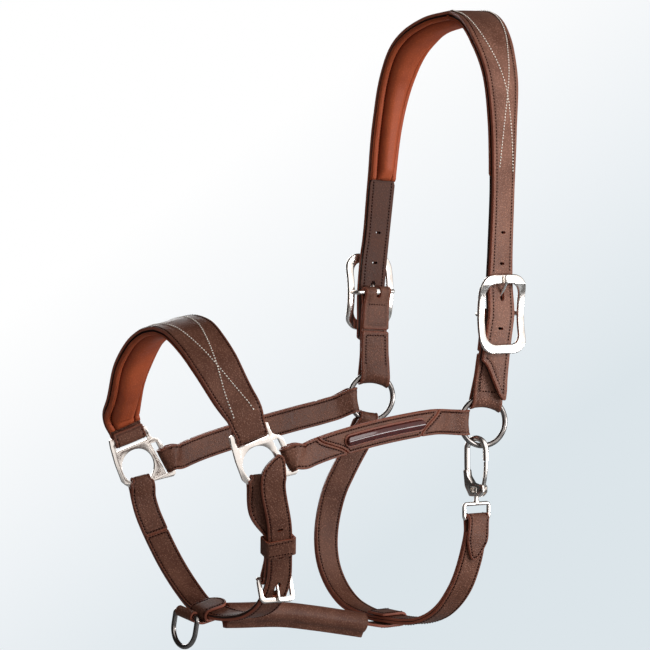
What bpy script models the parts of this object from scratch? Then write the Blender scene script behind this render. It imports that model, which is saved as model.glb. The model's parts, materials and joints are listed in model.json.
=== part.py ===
"""Padded leather head halter: leather straps cut flat and bent along routes, cast fittings and rings."""
import bpy
import bmesh
import math
import numpy as np
from mathutils import Matrix, Vector

MM = 0.001

# leather
LEATHER = 2.2
LINING = 2.4
PAD_SKIN = 1.2
GAP = 0.3
CROWN_HALF = 12.5
CROWN_PAD_HALF = 19.0
SMALL_HALF = 10.0
NOSE_HALF = 21.0
TAB_HALF = 13.0
CROWN_RISE = 10.4
NOSE_RISE = 10.0
PAD_BORDER = 5.0
PAD_BASE = GAP + LINING + 0.6

# metal
WIRE_R = 2.1
RING_R = 19.0
BAR_R = 1.8
TONGUE_R = 1.35
SLIT_HALF = 2.3
PLATE = 3.2

# places, in millimetres: x to the rear, y outward from the middle, z up from the poll
RING_AT = {-1: (-41.0, 75.6, -314.6), 1: (-39.3, 75.6, -303.3)}
FIT_AT = {-1: (-263.2, 82.0, -336.4), 1: (-265.5, 82.0, -349.2)}
BUCKLE_AT = {-1: (-32.0, 78.65, -228.5), 1: (-32.0, 78.65, -216.9)}
TURN = math.radians(15.0)
FIT_TILT = math.radians(20.0)
CHAPE_LEAN = math.radians(8.0)
THROAT_LEAN = math.radians(11.0)
TONGUE_HOLE = {-1: 15.0, 1: 6.0}
SIDE = {-1: "near", 1: "far"}

MATS = {}


def wipe():
    for ob in list(bpy.data.objects):
        bpy.data.objects.remove(ob, do_unlink=True)


def vec(*p):
    return np.array(p, float)


def unit(v):
    return v / np.linalg.norm(v)


def out(side, p):
    """A point or direction given outward from the middle, placed on one side."""
    return vec(p[0], side * p[1], p[2])


def rear_dir():
    """Horizontal direction in the turned planes of the rings and fittings."""
    return vec(math.cos(TURN), -math.sin(TURN), 0.0)


def plane_out(side):
    """Outward normal of the turned planes."""
    return -side * vec(-math.sin(TURN), -math.cos(TURN), 0.0)


# materials

def leather_brown():
    return material("pebbled brown leather", (0.088, 0.040, 0.028), 0.55, 0.0)


def leather_lining():
    return material("smooth brown lining leather", (0.070, 0.030, 0.021), 0.6, 0.0)


def leather_rust():
    return material("soft rust leather", (0.270, 0.060, 0.028), 0.6, 0.0)


def leather_patent():
    return material("maroon patent leather", (0.120, 0.010, 0.014), 0.12, 0.0)


def foam_padding():
    return material("grey foam padding", (0.42, 0.42, 0.40), 0.95, 0.0)


def nickel():
    return material("polished nickel plate", (0.78, 0.75, 0.72), 0.14, 1.0)


def ring_steel():
    return material("polished stainless steel", (0.42, 0.41, 0.40), 0.22, 1.0)


def spring_steel():
    return material("spring steel", (0.35, 0.35, 0.36), 0.35, 1.0)


def material(name, colour, roughness, metallic):
    return (name, colour, roughness, metallic)


def apply_material(ob, spec):
    name, colour, roughness, metallic = spec
    mat = bpy.data.materials.new(ob.name + " " + name)
    mat.use_nodes = True
    shader = mat.node_tree.nodes["Principled BSDF"]
    shader.inputs["Base Color"].default_value = (*colour, 1.0)
    shader.inputs["Roughness"].default_value = roughness
    shader.inputs["Metallic"].default_value = metallic
    mat.diffuse_color = (*colour, 1.0)
    ob.data.materials.append(mat)


def finish(name, bm, spec, origin=(0.0, 0.0, 0.0)):
    """Turn a bmesh in millimetres into a named object in metres with its origin at the joint."""
    bmesh.ops.remove_doubles(bm, verts=bm.verts, dist=0.02)
    bmesh.ops.triangulate(bm, faces=[f for f in bm.faces if len(f.verts) > 3])
    bmesh.ops.dissolve_degenerate(bm, dist=0.01, edges=bm.edges)
    bmesh.ops.recalc_face_normals(bm, faces=bm.faces)
    bmesh.ops.translate(bm, verts=bm.verts, vec=-Vector(origin))
    bmesh.ops.scale(bm, verts=bm.verts, vec=(MM, MM, MM))
    mesh = bpy.data.meshes.new(name)
    bm.to_mesh(mesh)
    bm.free()
    ob = bpy.data.objects.new(name, mesh)
    ob.location = Vector(origin) * MM
    bpy.context.scene.collection.objects.link(ob)
    apply_material(ob, spec)
    return ob


def boolean(bm, tool, operation):
    """Combine two bmeshes exactly and return the result."""
    obs = []
    for part in (bm, tool):
        mesh = bpy.data.meshes.new("work")
        bmesh.ops.recalc_face_normals(part, faces=part.faces)
        part.to_mesh(mesh)
        part.free()
        ob = bpy.data.objects.new("work", mesh)
        bpy.context.scene.collection.objects.link(ob)
        obs.append(ob)
    mod = obs[0].modifiers.new("cut", "BOOLEAN")
    mod.operation = operation
    mod.solver = "EXACT"
    mod.object = obs[1]
    graph = bpy.context.evaluated_depsgraph_get()
    result = bmesh.new()
    result.from_mesh(obs[0].evaluated_get(graph).to_mesh())
    for ob in obs:
        bpy.data.objects.remove(ob, do_unlink=True)
    return result


# routes and straps

class Route:
    """A smooth line through hand-placed points, each with the direction that the leather faces."""

    def __init__(self, points, flip=1.0):
        P = np.array([p for p, n in points], float)
        N = np.array([unit(n) for p, n in points], float)
        P = np.vstack([2 * P[0] - P[1], P, 2 * P[-1] - P[-2]])
        N = np.vstack([N[0], N, N[-1]])
        t = np.concatenate([[0.0], np.cumsum(np.sqrt(np.linalg.norm(np.diff(P, axis=0), axis=1)))])
        pos, nrm = [], []
        for i in range(1, len(P) - 2):
            count = max(3, int(np.linalg.norm(P[i + 1] - P[i]) / 0.6))
            for k in range(count):
                u = t[i] + (t[i + 1] - t[i]) * k / count
                pos.append(self.spline(P, t, i, u))
                nrm.append(self.spline(N, t, i, u))
        pos.append(P[-2])
        nrm.append(N[-2])
        self.P = np.array(pos)
        step = np.linalg.norm(np.diff(self.P, axis=0), axis=1)
        self.s = np.concatenate([[0.0], np.cumsum(step)])
        T = np.gradient(self.P, self.s, axis=0)
        self.T = T / np.linalg.norm(T, axis=1)[:, None]
        N = np.array(nrm)
        N = N - (N * self.T).sum(1)[:, None] * self.T
        self.N = N / np.linalg.norm(N, axis=1)[:, None]
        self.W = flip * np.cross(self.T, self.N)
        self.length = self.s[-1]

    @staticmethod
    def spline(A, t, i, u):
        def mix(a, b, ta, tb):
            return (tb - u) / (tb - ta) * a + (u - ta) / (tb - ta) * b
        a1 = mix(A[i - 1], A[i], t[i - 1], t[i])
        a2 = mix(A[i], A[i + 1], t[i], t[i + 1])
        a3 = mix(A[i + 1], A[i + 2], t[i + 1], t[i + 2])
        b1 = mix(a1, a2, t[i - 1], t[i + 1])
        b2 = mix(a2, a3, t[i], t[i + 2])
        return mix(b1, b2, t[i], t[i + 1])

    def pick(self, A, s):
        v = vec(*[np.interp(s, self.s, A[:, k]) for k in range(3)])
        if A is self.P:
            if s < 0.0:
                v = v + self.T[0] * s
            elif s > self.length:
                v = v + self.T[-1] * (s - self.length)
        return v

    def place(self, s, w, t):
        return self.pick(self.P, s) + w * self.pick(self.W, s) + t * self.pick(self.N, s)

    def nearest(self, p, lo=0.0, hi=1e9):
        d = np.linalg.norm(self.P - np.array(p), axis=1)
        d[(self.s < lo) | (self.s > hi)] = 1e9
        return float(self.s[int(np.argmin(d))])

    def stations(self, s0, s1, turn=12.0, longest=24.0):
        """Places where the bend or twist has gone far enough to need a new cross cut."""
        found = []
        last = s0
        ref = None
        for s, T, N in zip(self.s, self.T, self.N):
            if s <= s0 or s >= s1:
                continue
            if ref is None:
                ref = (T, N)
            bend = max(math.acos(min(1.0, T @ ref[0])), math.acos(min(1.0, N @ ref[1])))
            if bend > math.radians(turn) or s - last > longest:
                found.append(float(s))
                last = s
                ref = (T, N)
        return found


def fold(centre, side_dir, away, r_side, r_away, start=0.0, end=180.0, steps=8):
    """Points round a bar, from the side_dir flank over the far side and back up the other flank."""
    points = []
    for k in range(steps + 1):
        a = math.radians(start + (end - start) * k / steps)
        p = centre + r_side * math.cos(a) * side_dir + r_away * math.sin(a) * away
        n = math.cos(a) / r_side * side_dir + math.sin(a) / r_away * away
        points.append((p, n))
    return points


def strip_outline(s0, s1, widths, start="square", end="square", steps=6):
    """Flat outline of a strap: widths is a half width or a list of (s, half width)."""
    if not isinstance(widths, (list, tuple)):
        widths = [(s0, widths), (s1, widths)]
    ws = [p[0] for p in widths]
    hs = [p[1] for p in widths]

    def half(s):
        return float(np.interp(s, ws, hs))

    def cap(s, direction, kind):
        h = half(s)
        pts = []
        if kind == "round":
            for k in range(steps + 1):
                a = math.pi * k / steps
                pts.append((s + direction * (h * math.sin(a) - h), direction * -h * math.cos(a)))
        elif kind == "point":
            for k in range(steps + 1):
                f = abs(2.0 * k / steps - 1.0)
                pts.append((s - direction * 1.6 * h * (1.0 - math.cos(0.5 * math.pi * f)),
                            direction * h * (2.0 * k / steps - 1.0)))
        elif kind == "diagonal":
            for k in range(steps + 1):
                f = k / steps
                pts.append((s - direction * 1.15 * h * (1.0 + math.cos(math.pi * f)),
                            direction * h * (2.0 * f - 1.0)))
        elif kind == "diagonal_back":
            for k in range(steps + 1):
                f = k / steps
                pts.append((s - direction * 1.15 * h * (1.0 - math.cos(math.pi * f)),
                            direction * h * (2.0 * f - 1.0)))
        else:
            pts = [(s, -direction * h), (s, direction * h)]
        return pts

    first = cap(s0, -1.0, start)
    last = cap(s1, 1.0, end)
    mids = [s for s in ws if s0 + 1.0 < s < s1 - 1.0]
    lower = [(s, -half(s)) for s in mids]
    upper = [(s, half(s)) for s in reversed(mids)]
    return first + lower + last + upper


def clean_outline(points, tol=0.05):
    kept = []
    for p in points:
        if not kept or math.dist(p, kept[-1]) > tol:
            kept.append(p)
    if math.dist(kept[0], kept[-1]) < tol:
        kept.pop()
    return kept


def prism(points, z0, z1, chamfer=0.0):
    """A plate from a flat outline, with the edge of its z1 face chamfered."""
    bm = bmesh.new()
    verts = [bm.verts.new((x, y, z0)) for x, y in clean_outline(points)]
    face = bm.faces.new(verts)
    made = bmesh.ops.extrude_face_region(bm, geom=[face])["geom"]
    tops = [g for g in made if isinstance(g, bmesh.types.BMVert)]
    bmesh.ops.translate(bm, verts=tops, vec=(0.0, 0.0, z1 - z0))
    bmesh.ops.recalc_face_normals(bm, faces=bm.faces)
    if chamfer:
        rim = [e for e in bm.edges if all(abs(v.co.z - z1) < 1e-6 for v in e.verts)]
        bmesh.ops.bevel(bm, geom=rim, offset=chamfer, segments=1, affect="EDGES", profile=0.5, material=-1)
    return bm


def slot_points(s, length, half, steps=3, w=0.0):
    """Outline of a slot with rounded ends, its long side along s when length > 2 half."""
    pts = []
    straight = max(0.0, length / 2.0 - half)
    for sign in (1.0, -1.0):
        for k in range(steps + 1):
            a = -math.pi / 2.0 + math.pi * k / steps
            pts.append((s + sign * (straight + half * math.cos(a)), w + sign * half * math.sin(a)))
    return pts


def cut_holes(bm, outlines, z0, z1):
    if not outlines:
        return bm
    tool = bmesh.new()
    for pts in outlines:
        verts = [tool.verts.new((x, y, z0 - 1.0)) for x, y in clean_outline(pts, 0.01)]
        face = tool.faces.new(verts)
        made = bmesh.ops.extrude_face_region(tool, geom=[face])["geom"]
        tops = [g for g in made if isinstance(g, bmesh.types.BMVert)]
        bmesh.ops.translate(tool, verts=tops, vec=(0.0, 0.0, z1 - z0 + 2.0))
    return boolean(bm, tool, "DIFFERENCE")


def matched(route, other, reach=1.2, turn=7.0):
    """Places on a route beside the stations of the layer sewn to it, so both are scored alike."""
    found = []
    for s in other.stations(0.0, other.length, turn) + [1.5, other.length - 1.5, other.length - 5.0]:
        found += beside(route, other.place(s, 0.0, 0.0), reach)
    return sorted(found)


def beside(route, p, reach):
    """Every pass of the route within reach of a point, one place for each pass."""
    d = np.linalg.norm(route.P - p, axis=1)
    found = []
    for i in range(1, len(d) - 1):
        if d[i] < reach and d[i] <= d[i - 1] and d[i] < d[i + 1]:
            found.append(float(route.s[i]))
    return found


def paired(route, turn):
    """Stations of a strap folded back on itself, each one repeated on the layer facing it."""
    found = []
    for s in route.stations(0.0, route.length, turn):
        found += [q for q in beside(route, route.place(s, 0.0, 0.0), 0.6) if abs(q - s) > 6.0]
    return sorted(found)


def strap(name, route, outline, t0, t1, spec, holes=(), chamfer=0.0, saddles=(), lanes=(), turn=12.0,
          longest=24.0, extra=(), exact=False):
    """Cut the flat strap, score it across at the route's stations and bend it along the route."""
    bm = prism(outline, t0, t1, chamfer)
    bm = cut_holes(bm, holes, min(t0, t1), max(t0, t1))
    s0 = min(p[0] for p in outline)
    s1 = max(p[0] for p in outline)
    stations = [] if exact else route.stations(0.0, route.length, turn, longest)
    for s in spread(stations, list(extra)):
        if s <= s0 or s >= s1:
            continue
        geom = bm.verts[:] + bm.edges[:] + bm.faces[:]
        bmesh.ops.bisect_plane(bm, geom=geom, plane_co=(s, 0, 0), plane_no=(1, 0, 0), dist=0.02)
    for w in lanes:
        geom = bm.verts[:] + bm.edges[:] + bm.faces[:]
        bmesh.ops.bisect_plane(bm, geom=geom, plane_co=(0, w, 0), plane_no=(0, 1, 0), dist=0.02)
    bend(bm, route, saddles)
    return finish(name, bm, spec)


def spread(stations, extra):
    """Join two lists of stations, leaving out those that the second list already has close by."""
    kept = [s for s in stations if all(abs(s - e) > 1.2 for e in extra)]
    return sorted(kept + extra)


def bend(bm, route, saddles=()):
    for v in bm.verts:
        s, w, t = v.co
        p = route.place(s, w, t)
        for centre, radius, reach, fade, toward in saddles:
            off = max(0.0, abs(s - centre) - reach)
            if off < fade:
                k = 0.5 + 0.5 * math.cos(math.pi * off / fade)
                p = p + k * (radius - math.sqrt(radius * radius - w * w)) * toward
        v.co = Vector(p)


def sweep(points, radius, sides=10, closed=False, flat=1.0, up=None, caps=True):
    """A round or flattened wire along a line of points; radius is a number or one per point."""
    P = np.array(points, float)
    n = len(P)
    radii = radius if isinstance(radius, (list, tuple)) else [radius] * n
    if closed:
        T = np.roll(P, -1, axis=0) - np.roll(P, 1, axis=0)
    else:
        T = np.gradient(P, axis=0)
    T = T / np.linalg.norm(T, axis=1)[:, None]
    bm = bmesh.new()
    loops = []
    ref = unit(up if up is not None else np.cross(T[0], vec(0.31, 0.52, 0.79)))
    for i in range(n):
        if up is not None:
            ref = up
        ref = unit(ref - (ref @ T[i]) * T[i])
        other = np.cross(T[i], ref)
        loop = []
        for k in range(sides):
            a = 2.0 * math.pi * (k + 0.5) / sides
            co = P[i] + radii[i] * (math.cos(a) * ref * flat + math.sin(a) * other)
            loop.append(bm.verts.new(co))
        loops.append(loop)
    last = n if closed else n - 1
    for i in range(last):
        a, b = loops[i], loops[(i + 1) % n]
        for k in range(sides):
            bm.faces.new((a[k], a[(k + 1) % sides], b[(k + 1) % sides], b[k]))
    if not closed and caps:
        bm.faces.new(loops[0][::-1])
        bm.faces.new(loops[-1])
    return bm


def circle_points(centre, a, b, radius, steps, start=0.0, end=360.0):
    count = steps if abs(end - start) >= 360.0 else steps + 1
    pts = []
    for k in range(count):
        t = math.radians(start + (end - start) * k / steps)
        pts.append(centre + radius * (math.cos(t) * a + math.sin(t) * b))
    return pts


def smooth_line(points, per=6):
    """Catmull-Rom line through plain points."""
    route = Route([(vec(*p), vec(0.21, 0.34, 0.92)) for p in points])
    count = per * (len(points) - 1)
    return [route.pick(route.P, route.length * k / count) for k in range(count + 1)]


def rounded_box(half_x, half_y, radius, steps=4):
    """Outline of a rectangle with round corners."""
    pts = []
    for cx, cy, a0 in ((1, 1, 0), (-1, 1, 90), (-1, -1, 180), (1, -1, 270)):
        for k in range(steps + 1):
            a = math.radians(a0 + 90.0 * k / steps)
            pts.append((cx * (half_x - radius) + radius * math.cos(a),
                        cy * (half_y - radius) + radius * math.sin(a)))
    return pts


def bevel_all(bm, offset, segments=1, angle=0.6):
    bmesh.ops.recalc_face_normals(bm, faces=bm.faces)
    edges = [e for e in bm.edges if len(e.link_faces) == 2 and e.calc_face_angle(0.0) > angle]
    bmesh.ops.bevel(bm, geom=edges, offset=offset, segments=segments, affect="EDGES", profile=0.5,
                    material=-1, clamp_overlap=True)


def stand(bm, origin, x_dir, y_dir, z_dir):
    """Put a bmesh drawn in its own axes into the shared frame."""
    m = Matrix(((x_dir[0], y_dir[0], z_dir[0], origin[0]),
                (x_dir[1], y_dir[1], z_dir[1], origin[1]),
                (x_dir[2], y_dir[2], z_dir[2], origin[2]),
                (0, 0, 0, 1)))
    bmesh.ops.transform(bm, matrix=m, verts=bm.verts)


# frames of the two sides

def ring_centre(side):
    return out(side, RING_AT[side])


def ring_dir(angle):
    """Direction in the ring's plane, angle measured from straight up toward the rear."""
    return math.sin(angle) * rear_dir() + math.cos(angle) * vec(0, 0, 1)


def fit_axes():
    h = rear_dir()
    z = vec(0, 0, 1)
    return math.cos(FIT_TILT) * h + math.sin(FIT_TILT) * z, -math.sin(FIT_TILT) * h + math.cos(FIT_TILT) * z


def fit_point(side, u, v, n=0.0):
    U, V = fit_axes()
    return out(side, FIT_AT[side]) + u * U + v * V + n * plane_out(side)


# crown

CROWN_LINE = [
    (-31.4, 84.2, -205.0, 0.07, 1.0, 0.0),
    (-30.0, 83.2, -180.0, 0.15, 0.98, 0.0),
    (-28.0, 83.2, -130.0, 0.20, 0.97, 0.05),
    (-24.5, 79.6, -80.0, 0.18, 0.96, 0.14),
    (-19.5, 70.2, -40.4, 0.12, 0.86, 0.5),
    (-15.0, 53.6, -14.0, 0.06, 0.62, 0.79),
    (-7.0, 29.0, 4.0, 0.0, 0.30, 0.95),
    (0.0, 3.5, CROWN_RISE, 0.0, 0.0, 1.0),
]
BILLET_OVER = LEATHER + GAP + LINING + GAP + 0.5
FAR_LEAN = 4.0
FAR_TWIST = 0.2
PAD_SHIFT = 8.5


def chape_middle(side, f):
    """Middle of the doubled chape, from the ring's wire (0) to the buckle bar (1), and its outward side."""
    wire = ring_centre(side) + RING_R * ring_dir(CHAPE_LEAN)
    bar = out(side, BUCKLE_AT[side])
    turned = max(0.0, 1.0 - f) ** 1.6
    n = unit(plane_out(side) * turned + out(side, (0, 1, 0)) * (1.0 - turned))
    return wire + (bar - wire) * f + 1.4 * math.sin(math.pi * f) * n, n


def billet_points(side):
    """The crown billet lying over the chape, from its tip by the ring up to the buckle bar."""
    points = []
    for f, rise in ((0.0, 3.6), (0.11, 3.0), (0.26, 0.9), (0.45, 0.0), (0.68, 0.3), (0.85, 1.4), (1.0, 2.1)):
        p, n = chape_middle(side, f)
        points.append((p + (BILLET_OVER + rise) * n, n))
    return points


def crown_route():
    near = billet_points(-1) + [(out(-1, p[:3]), out(-1, p[3:])) for p in CROWN_LINE]
    far = []
    for p in reversed(CROWN_LINE):
        lift = 11.6 * float(np.interp(-p[2], [120.0, 200.0], [0.0, 1.0]))
        lean = FAR_LEAN * float(np.interp(-p[2], [10.0, 60.0, 150.0, 190.0], [0.0, 1.0, 1.0, 0.0]))
        twist = FAR_TWIST * float(np.interp(-p[2], [20.0, 80.0, 180.0, 205.0], [0.0, 1.0, 1.0, 0.3]))
        far.append((out(1, (p[0] + lean, p[1], p[2] + lift)), out(1, (p[3] - twist, p[4], p[5]))))
    route = Route(near + far + billet_points(1)[::-1])
    s0 = route.nearest(out(-1, CROWN_PAD_END))
    route.pad = (s0 + PAD_SHIFT, route.length - s0 + PAD_SHIFT)
    return route


def crown_widths(route):
    mid = route.length / 2.0
    s = [route.nearest(out(-1, CROWN_LINE[k][:3])) for k in (0, 1, 2, 3, 4, 5)]
    halves = [CROWN_HALF, CROWN_HALF, 12.8, 14.4, 16.8, CROWN_PAD_HALF]
    near = list(zip(s, halves))
    far = [(2 * mid - a, h) for a, h in reversed(near)]
    return near + far


CROWN_PAD_END = (-28.6, 83.4, -128.0)
CROWN_HOLES = {-1: (-163.7, -188.4, -239.6), 1: (-167.8, -192.9, -241.0)}


def crown_holes(route, long_slot):
    """Slits across the billets, and the long hole where each tongue passes through."""
    cuts = []
    for side in (-1, 1):
        for z in CROWN_HOLES[side]:
            s = route.nearest(out(side, (-31.0, 84.0, z)))
            cuts.append(slot_points(0.0, 5.4, 1.0))
            cuts[-1] = [(s + y, x) for x, y in cuts[-1]]
        bar = BUCKLE_AT[side][2]
        hole = TONGUE_HOLE[side]
        lo, hi = (hole - 5.2, hole + 4.4) if not long_slot else (-2.5, hole + 3.2)
        s = route.nearest(out(side, (-31.0, 84.0, bar + (lo + hi) / 2.0)))
        cuts.append(slot_points(s, hi - lo, SLIT_HALF))
    return cuts


PAD_LANES = (0.0,)


def pad_cuts(route, turn, longest):
    """Cross cuts of a padded part; all its layers are scored at the same places."""
    s0, s1 = route.pad
    ends = [s0, s0 + 3.0, s0 + 7.0, s0 + 12.0]
    ends += [s0 + s1 - s for s in reversed(ends)]
    return spread(route.stations(0.0, route.length, turn, longest), ends)


def make_crown():
    route = crown_route()
    widths = crown_widths(route)
    outline = strip_outline(0.0, route.length, widths, "diagonal_back", "diagonal")
    bars = [route.nearest(out(side, (-32.0, 86.0, BUCKLE_AT[side][2]))) for side in (-1, 1)]
    at_bars = [s + step for s in bars for step in (-9.0, -3.0, 3.0, 9.0)]
    cuts = spread(pad_cuts(route, 12.0, 22.0), at_bars)
    strap("crown_outer", route, outline, 0.0, LINING, leather_brown(), crown_holes(route, False), 0.5,
          lanes=PAD_LANES, extra=cuts, exact=True)
    strap("crown_lining", route, outline, -GAP, -GAP - LINING, leather_lining(), crown_holes(route, True),
          lanes=PAD_LANES, extra=cuts, exact=True)
    make_pad("crown", route, widths, CROWN_RISE, cuts)


def pad_section(half, lift, rise, inner):
    """Half profile of a padded cover: flat border, sewn groove, then the stuffed panel."""
    base = PAD_BASE
    top = base + PAD_SKIN
    inside = PAD_SKIN if inner else 0.0
    seam = half - PAD_BORDER
    peak = rise - top
    side = seam - 0.6 - inside * 0.8
    pts = [(half, top - inside), (seam, top - inside)]
    for f, g in ((1.0, 0.22), (0.9, 0.66), (0.6, 0.92), (0.0, 1.0)):
        pts.append((side * f, top + peak * lift * g - inside))
    return pts


def make_pad(prefix, route, widths, rise, cuts):
    ws = [p[0] for p in widths]
    hs = [p[1] for p in widths]
    s0, s1 = route.pad
    cuts = [s for s in cuts if s0 <= s <= s1]

    def lift(s):
        f = min(1.0, min(s - s0, s1 - s) / 12.0)
        return math.sin(0.5 * math.pi * max(0.0, f))

    bm = bmesh.new()
    loops = []
    for s in cuts:
        half = float(np.interp(s, ws, hs)) - 0.4
        top = pad_section(half, lift(s), rise, False)
        under = pad_section(half, lift(s), rise, True)
        ring = top + [(-w, t) for w, t in top[-2::-1]]
        ring += [(-w, t) for w, t in under] + under[-2::-1]
        loops.append([bm.verts.new(route.place(s, w, -t)) for w, t in ring])
    bridge(bm, loops)
    finish(prefix + "_pad_cover", bm, leather_rust())

    bm = bmesh.new()
    loops = []
    base = PAD_BASE
    for s in [c for c in cuts if s0 + 2.5 < c < s1 - 2.5]:
        half = float(np.interp(s, ws, hs)) - 0.4
        under = pad_section(half, lift(s), rise, True)[3:]
        top = [(w * 0.93, max(base + 0.4, t - GAP)) for w, t in under]
        ring = [(top[0][0], base + 0.1)] + top + [(-w, t) for w, t in top[-2::-1]] + [(-top[0][0], base + 0.1)]
        loops.append([bm.verts.new(route.place(s, w, -t)) for w, t in ring])
    bridge(bm, loops)
    finish(prefix + "_foam", bm, foam_padding())


def bridge(bm, loops):
    for a, b in zip(loops, loops[1:]):
        n = len(a)
        for k in range(n):
            bm.faces.new((a[k], a[(k + 1) % n], b[(k + 1) % n], b[k]))
    bm.faces.new(loops[0][::-1])
    bm.faces.new(loops[-1])


# crown chapes, buckles and rings

CHAPE_SPLIT = 0.3
LOOP_WIDE = 5.3
SADDLE_WIDE = 28.0
LOOP_SMALL = 4.2
SADDLE_SMALL = 38.0


def chape_route(side):
    """Closed wrap round the ring's wire below and the buckle bar above."""
    up_ring = ring_dir(CHAPE_LEAN)
    wire = ring_centre(side) + RING_R * up_ring
    bar = out(side, BUCKLE_AT[side])

    def layer(f, sign):
        p, n = chape_middle(side, f)
        return p + sign * CHAPE_SPLIT * n, sign * n

    pts = [layer(f, -1.0) for f in (0.52, 0.38, 0.24)]
    pts += fold(wire, -plane_out(side), -up_ring, 3.2, LOOP_WIDE)
    pts += [layer(f, 1.0) for f in (0.24, 0.38, 0.55, 0.7, 0.85)]
    pts += fold(bar, out(side, (0, 1, 0)), vec(0, 0, 1), BAR_R + 0.45, BAR_R + 0.45)
    pts += [layer(f, -1.0) for f in (0.85, 0.7, 0.545)]
    return Route(pts, -side), wire, bar, -up_ring


def make_chape(side):
    route, wire, bar, toward = chape_route(side)
    s_ring = route.nearest(wire + toward * LOOP_WIDE)
    s_bar = route.nearest(bar + vec(0, 0, BAR_R + 0.45), s_ring + 20.0)
    hole = slot_points(s_bar, 16.0, SLIT_HALF)
    outline = strip_outline(0.0, route.length, CROWN_HALF)
    strap("crown_chape_" + SIDE[side], route, outline, 0.0, LEATHER, leather_brown(), [hole], 0.4,
          [(s_ring, SADDLE_WIDE, 6.0, 16.0, toward)], (0.0,), 18.0, 10.0, paired(route, 18.0))


def make_ring(name, centre, radius, wire, normal):
    a = unit(np.cross(normal, vec(0, 0, 1)))
    b = np.cross(a, normal)
    bm = sweep(circle_points(vec(0, 0, 0), a, b, radius, 32), wire, 8, True)
    bmesh.ops.translate(bm, verts=bm.verts, vec=Vector(centre))
    finish(name, bm, ring_steel(), centre)


FRAME_HALF = (23.0, 31.5)
FRAME_OPEN = (16.6, 24.0)
FRAME_DEPTH = 3.2
FRAME_STANDOFF = 9.9
FRAME_BOW = 3.6


def make_crown_buckle(side):
    """Bowed frame whose middle bar sits behind its face, drawn with x across, y along, z outward."""
    outer = rounded_box(FRAME_HALF[0], FRAME_HALF[1], 12.0, 5)
    inner = rounded_box(FRAME_OPEN[0], FRAME_OPEN[1], 7.0, 4)
    bm = prism(outer, 0.0, FRAME_DEPTH)
    bm = cut_holes(bm, [inner], 0.0, FRAME_DEPTH)
    for y in (-22.0, -14.0, -7.0, 0.0, 7.0, 14.0, 22.0):
        geom = bm.verts[:] + bm.edges[:] + bm.faces[:]
        bmesh.ops.bisect_plane(bm, geom=geom, plane_co=(0, y, 0), plane_no=(0, 1, 0), dist=0.02)
    for v in bm.verts:
        f = max(0.0, 1.0 - (v.co.y / 24.0) ** 2)
        v.co.z += FRAME_STANDOFF - FRAME_BOW * f
    rim = [e for e in bm.edges if len(e.link_faces) == 2 and e.calc_face_angle(0.0) > 1.2]
    bmesh.ops.bevel(bm, geom=rim, offset=0.8, segments=1, affect="EDGES", profile=0.5, material=-1)
    mid = (FRAME_HALF[0] + FRAME_OPEN[0]) / 2.0
    line = [vec(-mid, 0, 7.8), vec(-mid, 0, 4.4), vec(-mid + 0.8, 0, 1.4), vec(-mid + 2.6, 0, 0.0)]
    line += [vec(0, 0, 0)] + [vec(-p[0], p[1], p[2]) for p in reversed(line)]
    bm = boolean(bm, sweep(line, BAR_R, 12, up=vec(0, 1, 0)), "UNION")
    at = out(side, BUCKLE_AT[side])
    z = out(side, (0, 1, 0))
    along = vec(0, 0, 1)
    stand(bm, at, np.cross(along, z), along, z)
    finish("crown_buckle_" + SIDE[side], bm, nickel(), at)


def tongue_line(hole):
    """Side view of a tongue as (height above the bar, distance out)."""
    return [(0.0, 3.45), (hole * 0.42, 3.6), (hole * 0.78, 4.8), (hole + 1.2, 8.4), (hole + 5.0, 12.0),
            ((hole + 36.0) / 2.0, 15.1), (31.0, 15.2)]


def make_tongue(side):
    at = out(side, BUCKLE_AT[side])
    z = out(side, (0, 1, 0))
    line = smooth_line([(0.0, h, d) for h, d in tongue_line(TONGUE_HOLE[side])], 3)
    radii = [TONGUE_R] * (len(line) - 1) + [TONGUE_R * 0.75]
    bm = sweep(line, radii, 8, up=vec(1, 0, 0), flat=1.15)
    eye = tongue_eye(BAR_R + 0.2, 3.5, 3.0)
    bm = boolean(eye, bm, "UNION")
    along = vec(0, 0, 1)
    stand(bm, at, np.cross(along, z), along, z)
    finish("crown_tongue_" + SIDE[side], bm, nickel(), at)


def tongue_eye(inner, outer, width, steps=12):
    """Rolled eye of a tongue, a short sleeve round the x axis."""
    bm = bmesh.new()
    loops = []
    for radius, x in ((inner, -width / 2), (outer, -width / 2), (outer, width / 2), (inner, width / 2)):
        loop = []
        for k in range(steps):
            a = 2 * math.pi * k / steps
            loop.append(bm.verts.new((x, radius * math.cos(a), radius * math.sin(a))))
        loops.append(loop)
    for i in range(4):
        a, b = loops[i], loops[(i + 1) % 4]
        for k in range(steps):
            bm.faces.new((a[k], a[(k + 1) % steps], b[(k + 1) % steps], b[k]))
    return bm


# nose fittings

FIT_HOLE = 13.75
FIT_RIM = 18.3
TOP_BAR_V = 24.2
SIDE_BAR = ((22.2, 12.5), (26.2, -14.3))


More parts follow.
